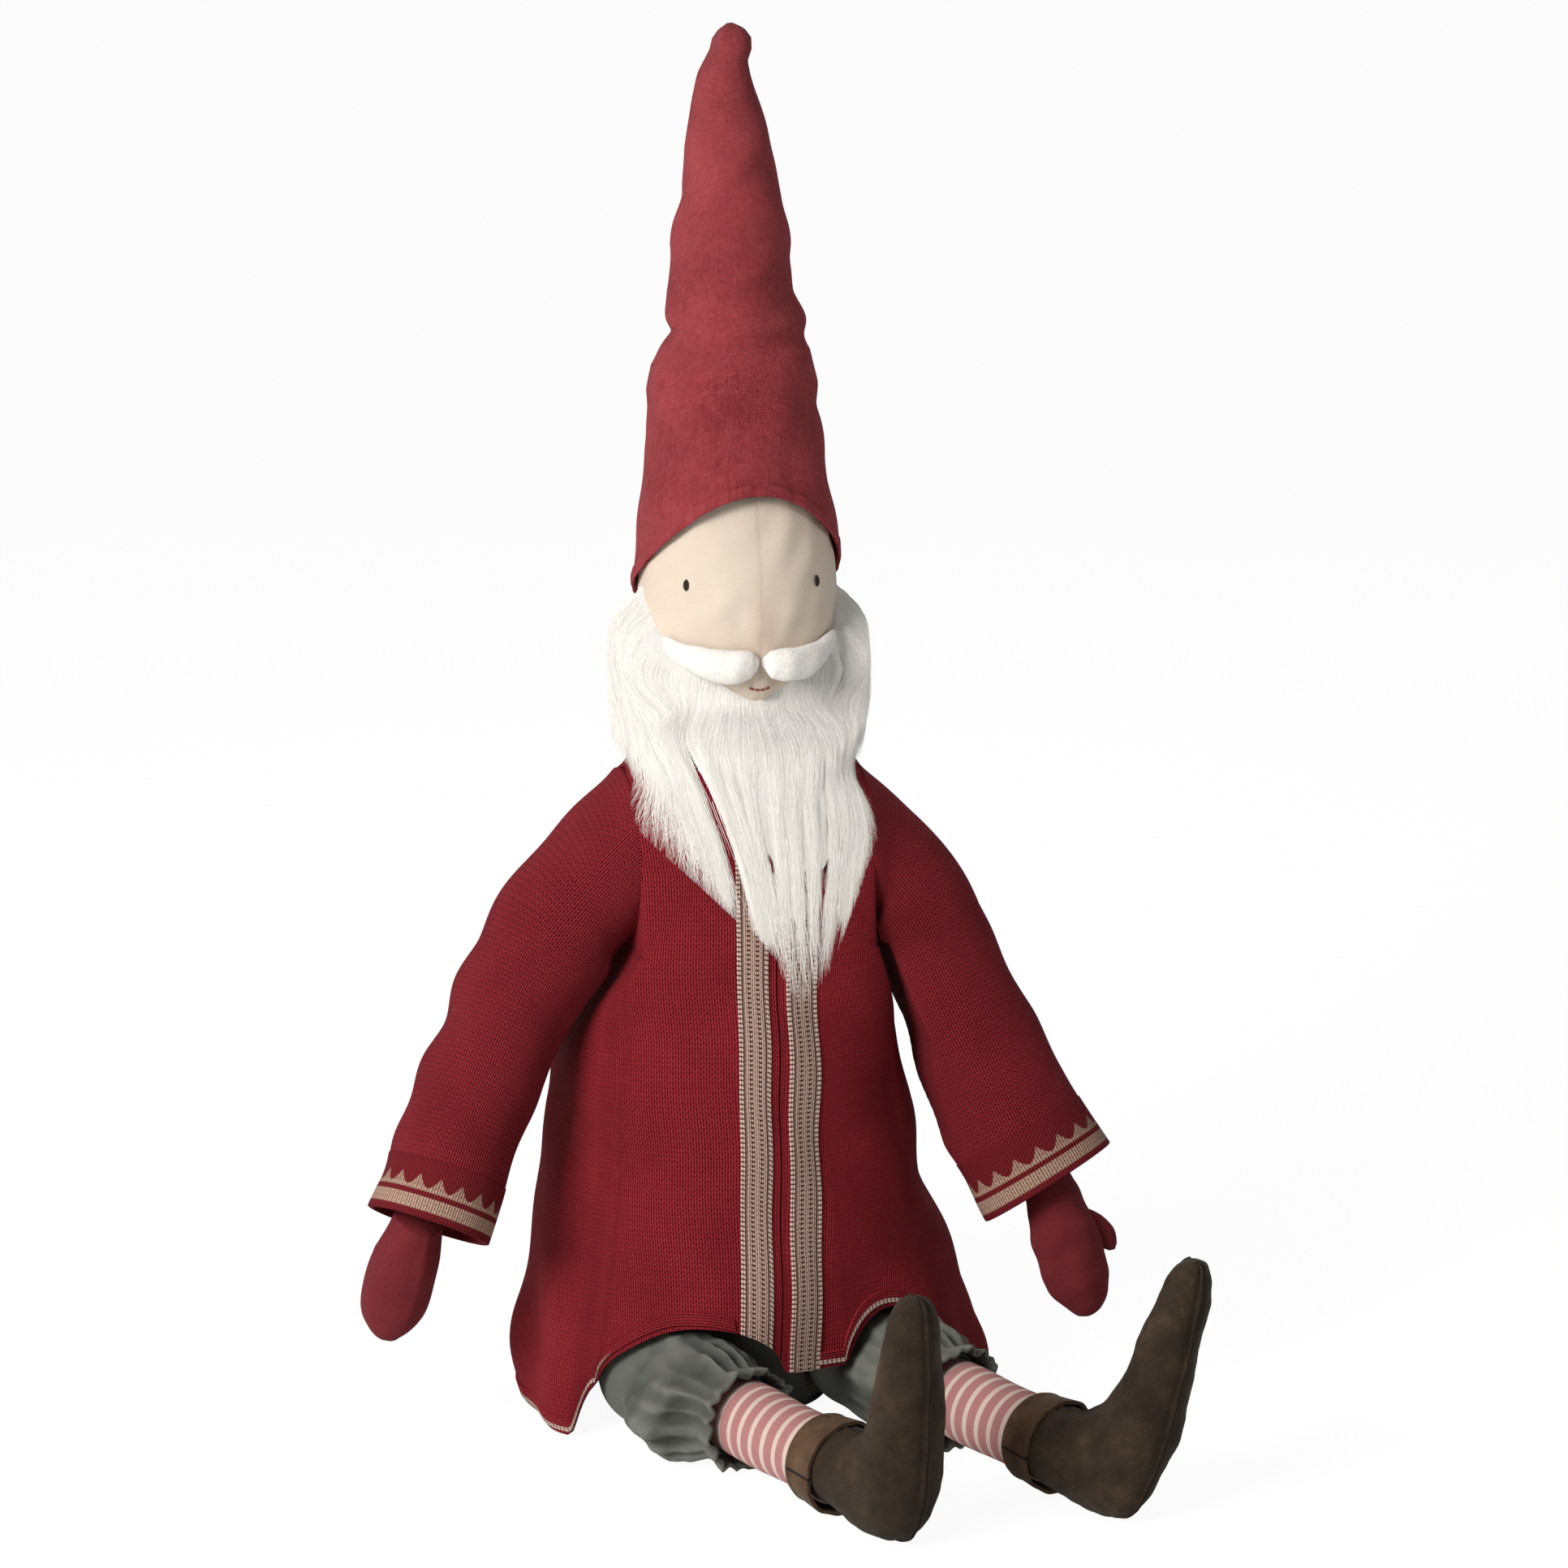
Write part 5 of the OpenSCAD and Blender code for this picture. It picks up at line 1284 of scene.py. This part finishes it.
def beard_full(turn, v, z):
    """Thickness of the beard: it swells below the mouth, and the cheeks are full and round."""
    v = np.clip(v, 0.0, 1.0)
    front = 9.6 * (0.22 + 0.78 * np.sin(math.pi * v ** 0.7))
    side = np.maximum(table(z, CHEEK_OUT) - beard_in(turn, z), 2.0)
    beside = ease((np.abs(np.degrees(turn)) - 50.0) / 18.0)
    return front * (1.0 - beside) + side * beside


def beard_point(root, turn, v, share):
    """A point of the beard on a fibre that starts at one turn and has drifted to another."""
    top = table(np.degrees(root), BEARD_TOP)
    z = top + (table(np.degrees(turn), BEARD_FOOT) - top) * v
    sewn = 1.8 * (1.0 - ease(v / 0.06))
    return round_point(turn, beard_in(turn, z) - sewn + share * beard_full(turn, v, z), z)


def fleece_share(v):
    """How far the fleece stands out, with a rounded upper edge."""
    return 0.84 * np.sqrt(np.clip(v / 0.16, 0.0, 1.0))


def closing(turn):
    """The wool thins out to nothing behind the ears."""
    return np.sqrt(np.clip((BEARD_SPAN - np.abs(np.degrees(turn))) / 12.0, 0.0, 1.0))


def wool_normal(turn, lean=0.0):
    """The way that wool at a turn seems to face: light spreads in it, so its shaded side stays soft."""
    way = 0.2 * round_point(turn, 1.0, 0.0) + np.array((-0.12, -0.6, 0.02))
    way = way + np.asarray(lean)[..., None] * np.stack([np.cos(turn), np.sin(turn), 0.0 * turn], axis=-1)
    return way / np.linalg.norm(way, axis=-1, keepdims=True)


turn = np.radians(np.linspace(-104.0, 104.0, 180))[None, :]
# How far down the solid fleece goes at each turn; below it hang loose fibres
FLEECE_END = [(-105, 0.9), (-85, 0.86), (-74, 0.8), (-60, 0.66), (-52, 0.52), (-44, 0.42), (-34, 0.36),
              (-27, 0.4), (-20, 0.54), (-15, 0.6), (0, 0.6), (9, 0.62), (20, 0.58), (30, 0.66), (42, 0.62),
              (52, 0.7), (60, 0.8), (105, 0.9)]
ragged = table(np.degrees(turn), FLEECE_END)
v = np.linspace(0.0, 1.0, 110)[:, None] ** 1.4 * ragged
locks = 1.0 + 0.08 * np.cos(np.degrees(turn) * 0.55) * v + 0.05 * np.cos(np.degrees(turn) * 1.3 + 6.0 * v)
thin = 1.0 - 0.85 * ease((v / ragged - 0.6) / 0.4) * ease((0.95 - ragged) / 0.2)
front_layer = beard_point(turn, turn + 0.0 * v, v, fleece_share(v) * locks * thin * closing(turn))
back_layer = beard_point(turn, turn + 0.0 * v, v, 0.0)
grid = np.concatenate([front_layer, back_layer[::-1]])
grid = grid[:, ::-1]
weave = np.concatenate([even_weave(220, 180, 180.0, 300.0), np.full((220, 180, 1), 0.5)], axis=-1)
piece = cloth("beard_fleece", grid, weave, around=False)
fleece_turn = np.arctan2(grid[..., 0], -grid[..., 1])
piece.data.normals_split_custom_set_from_vertices(wool_normal(fleece_turn).reshape(-1, 3))
dress(piece, beard_wool, "body", "beard")

rng = np.random.default_rng(61)
count = 30000
steps = 14
LOCKS = np.radians((-100, -91, -82, -74, -66, -59.5, -26, -19, -10, 2, 13, 26, 39, 51, 63, 75, 87, 99))
TIP = math.radians(14.0)
root = np.radians(rng.uniform(-104.0, 104.0, count))
nearest = np.abs(root[:, None] - LOCKS[None, :]).argmin(axis=1)
middle = LOCKS[nearest]
hanging = ease((math.radians(80.0) - np.abs(root)) / 0.25)[:, None]
early = np.where(np.abs(root) > 0.3, -0.03, 0.0)
begin = np.where(rng.random(count) < 0.2, rng.uniform(early, 0.05), rng.uniform(0.0, 0.75, count))
end = rng.uniform(0.9, 1.06, len(LOCKS))[nearest] - 0.3 * rng.random(count) ** 2.0
end = np.where(np.abs(root) > 1.15, np.minimum(end, 1.0), end)
wisp = ease((math.radians(34.0) - np.abs(root - TIP)) / 0.4)
end = end - 0.25 * wisp * (rng.random(count) < 0.86)
stop = np.minimum(begin + rng.uniform(0.25, 0.6, count), end)
begin = np.minimum(begin, stop - 0.08)
v = begin[:, None] + (stop - begin)[:, None] * np.linspace(0.0, 1.0, steps)[None, :]
spread = root - middle
gather = (0.18 + 0.5 * ease((v - 0.25) / 0.42)) * hanging * (rng.random((count, 1)) > 0.004)
sway = rng.normal(0.0, 0.05, len(LOCKS))[nearest][:, None] * np.sin(5.0 * v + nearest[:, None]) * hanging
line = middle[:, None] + sway
turns = line + spread[:, None] * (1.0 - gather)
drift = 0.55 * ease((v - 0.2) / 0.8) * ease((math.radians(100.0) - np.abs(root)) / 0.5)[:, None]
turns = turns + (TIP - turns) * drift
loose = ease((v - 0.7) / 0.3)
frizz = rng.uniform(6.0, 30.0, (count, 1)) * v + rng.uniform(0.0, 6.3, (count, 1))
curl = rng.uniform(0.003, 0.014, (count, 1)) + 0.06 * loose * rng.random((count, 1)) ** 2
turns = turns + curl * np.sin(frizz)
fluff = rng.normal(0.0, 0.25, (count, 1)) * (v - begin[:, None]) * (1.0 - hanging)
turns = np.clip(turns + rng.normal(0.0, 0.03, (count, 1)) * v + fluff, -1.84, 1.84)
across = np.clip(spread / 0.1, -1.0, 1.0)[:, None]
above = rng.uniform(0.04, 0.2, (count, 1)) + 0.06 * np.sin(frizz * 0.6)
above = above - 0.16 * across ** 2 * ease((v - 0.2) / 0.4)
emerge = 0.8 + 0.2 * ease((v - begin[:, None]) / 0.1)
paths = beard_point(root[:, None], turns, v, (fleece_share(v) + above) * emerge * closing(turns))
lie = wool_normal(turns, 0.3 * across * ease((v - 0.15) / 0.4)) + rng.normal(0.0, 0.16, (count, 1, 3))
away = wool_normal(turns) + 0.5 * round_point(turns, 1.0, 0.0)
away = away + rng.normal(0.0, 0.15, (count, 1, 3))
hairs = strands("beard_locks", paths, taper(count, steps, 0.14, rng), away, lie)
hairs.visible_shadow = False
dress(hairs, beard_wool, "body", "beard")

# Hat: a tall cone of washed red canvas with one seam, pulled down over the head and arched above the face
# Its lower half is filled by the head and its soft top slumps in folds; the edge is a narrow turned hem.
HAT_H = 265.0
BRIM_R = 50.1
# Rings of the hat: share of its height, radius, sideways lean
HAT = [(-0.2, BRIM_R, 0.0), (0.02, BRIM_R, 0.0), (0.09, 48.3, 0.0), (0.18, 45.2, -0.5), (0.27, 41.6, -1.0),
       (0.355, 40.2, -3.0), (0.4, 39.0, -2.4), (0.43, 36.5, -0.5), (0.46, 32.2, 0.3), (0.53, 29.4, -2.8),
       (0.615, 28.1, -3.0), (0.7, 23.6, -2.0), (0.785, 20.4, -3.8), (0.87, 15.6, -5.0), (0.915, 12.4, -5.2),
       (0.935, 10.6, -4.6), (0.955, 10.2, -2.6), (0.975, 9.4, -2.4), (0.99, 6.2, -2.6), (1.0, 1.2, -3.0)]
# Folds: height share, turn in degrees, slope, half-width in share, depth in mm, half-span in degrees
FOLDS = [(0.44, 20, 0.1, 0.018, 3.0, 80), (0.45, -70, -0.12, 0.016, 2.6, 60),
         (0.46, 150, 0.1, 0.018, 2.8, 80), (0.36, -40, 0.2, 0.02, 1.4, 55), (0.34, 60, -0.25, 0.02, 1.6, 50),
         (0.53, 5, 0.4, 0.022, 1.1, 50), (0.6, 70, -0.4, 0.024, 1.2, 55), (0.64, -60, 0.35, 0.022, 1.1, 50),
         (0.74, 20, 0.3, 0.022, 0.9, 60), (0.82, -40, -0.3, 0.02, 0.8, 60), (0.27, 10, -0.2, 0.022, 1.0, 60),
         (0.62, 170, 0.3, 0.02, 1.5, 70)]


def hat_radius(turn, share):
    """Radius of the hat with its slumped folds."""
    r = table(share, [(h[0], h[1]) for h in HAT])
    for at, middle, slope, half, depth, span in FOLDS:
        away = (np.degrees(turn) - middle + 180.0) % 360.0 - 180.0
        line = (share - at - slope * away / 360.0) / half
        window = np.exp(-(away / span) ** 2)
        r = r - depth * window * (0.6 * np.exp(-line ** 2) - 0.8 * np.exp(-((line - 1.9) / 1.3) ** 2))
    return np.maximum(r, 0.8)


def hat_grid(turns, low, high, rows, out):
    """Rows of the hat between two shares of the way from its edge to its tip."""
    c = np.cos(turns)
    brim = (7.0 + 32.0 * c + 11.0 * c * c) / HAT_H
    share = brim[None, :] + (1.0 - brim[None, :]) * np.linspace(low, high, rows)[:, None]
    turn = turns[None, :] + 0.0 * share
    lean = table(share, [(h[0], h[2]) for h in HAT])
    grid = round_point(turn, hat_radius(turn, share) + out, WIDEST_Z + share * HAT_H)
    grid[..., 0] += lean
    return grid


canvas = Finish("hat_canvas", 0.88, 0.04)
height, slub = canvas.use(plain_weave, canvas.place, 1.25)
broad, fine = canvas.use(mottle, canvas.spot, 0.03)
crease = canvas.spot.scaled(1.0, 1.0, 0.5).noise(0.12, 4.0, 0.6)
thread = broad.step(0.25, 0.75) * 0.4 + slub.step(0.3, 0.7) * 0.6
tone = canvas.blend(thread, dye(126, 38, 44), dye(192, 76, 83))
worn = crease.away(0.5).drop(0.0, 0.06)
tone = canvas.blend(worn * 0.16, tone, dye(190, 98, 102))
# Painted light: the upper part of the hat is blended towards a paler red, standing in for light on its top.
painted_top_light = canvas.spot.axis("Z").step(500.0, 680.0)
tone = canvas.blend(painted_top_light * 0.6, tone, canvas.blend(thread, dye(164, 58, 65), dye(238, 110, 117)))
# Painted shade: dye(104, 34, 39) darkens the canvas where the weave is low, between the threads.
canvas.colour(canvas.blend(height.step(0.0, 0.7), dye(104, 34, 39), tone))
canvas.bump(height * 0.6 + slub * 0.9 + crease * 1.2, 0.5)
turns = np.linspace(0.0, 2 * math.pi, 200, endpoint=False)
grid = hat_grid(turns, 0.0, 1.0, 230, 0.0)
grid = pushed(grid, 0.4 * ripples(71, grid, 34.0))
weave = even_weave(230, 201, 300.0, 290.0)
piece = cloth("hat_cone", grid, weave, caps=(False, True))
walled(piece, 1.2)
dress(piece, canvas, "body", "hat")
hem = hat_grid(turns, -0.004, 0.022, 14, 0.0)
round_hem = 0.9 * np.sqrt(np.maximum(0.0, 1.0 - np.linspace(-1.0, 1.0, 14) ** 4))[:, None]
hem = pushed(hem, round_hem + 0.25 * ripples(72, hem, 12.0))
piece = cloth("hat_turned_hem", hem, even_weave(14, 201, 300.0, 7.0))
walled(piece, 1.2)
dress(piece, canvas, "body")
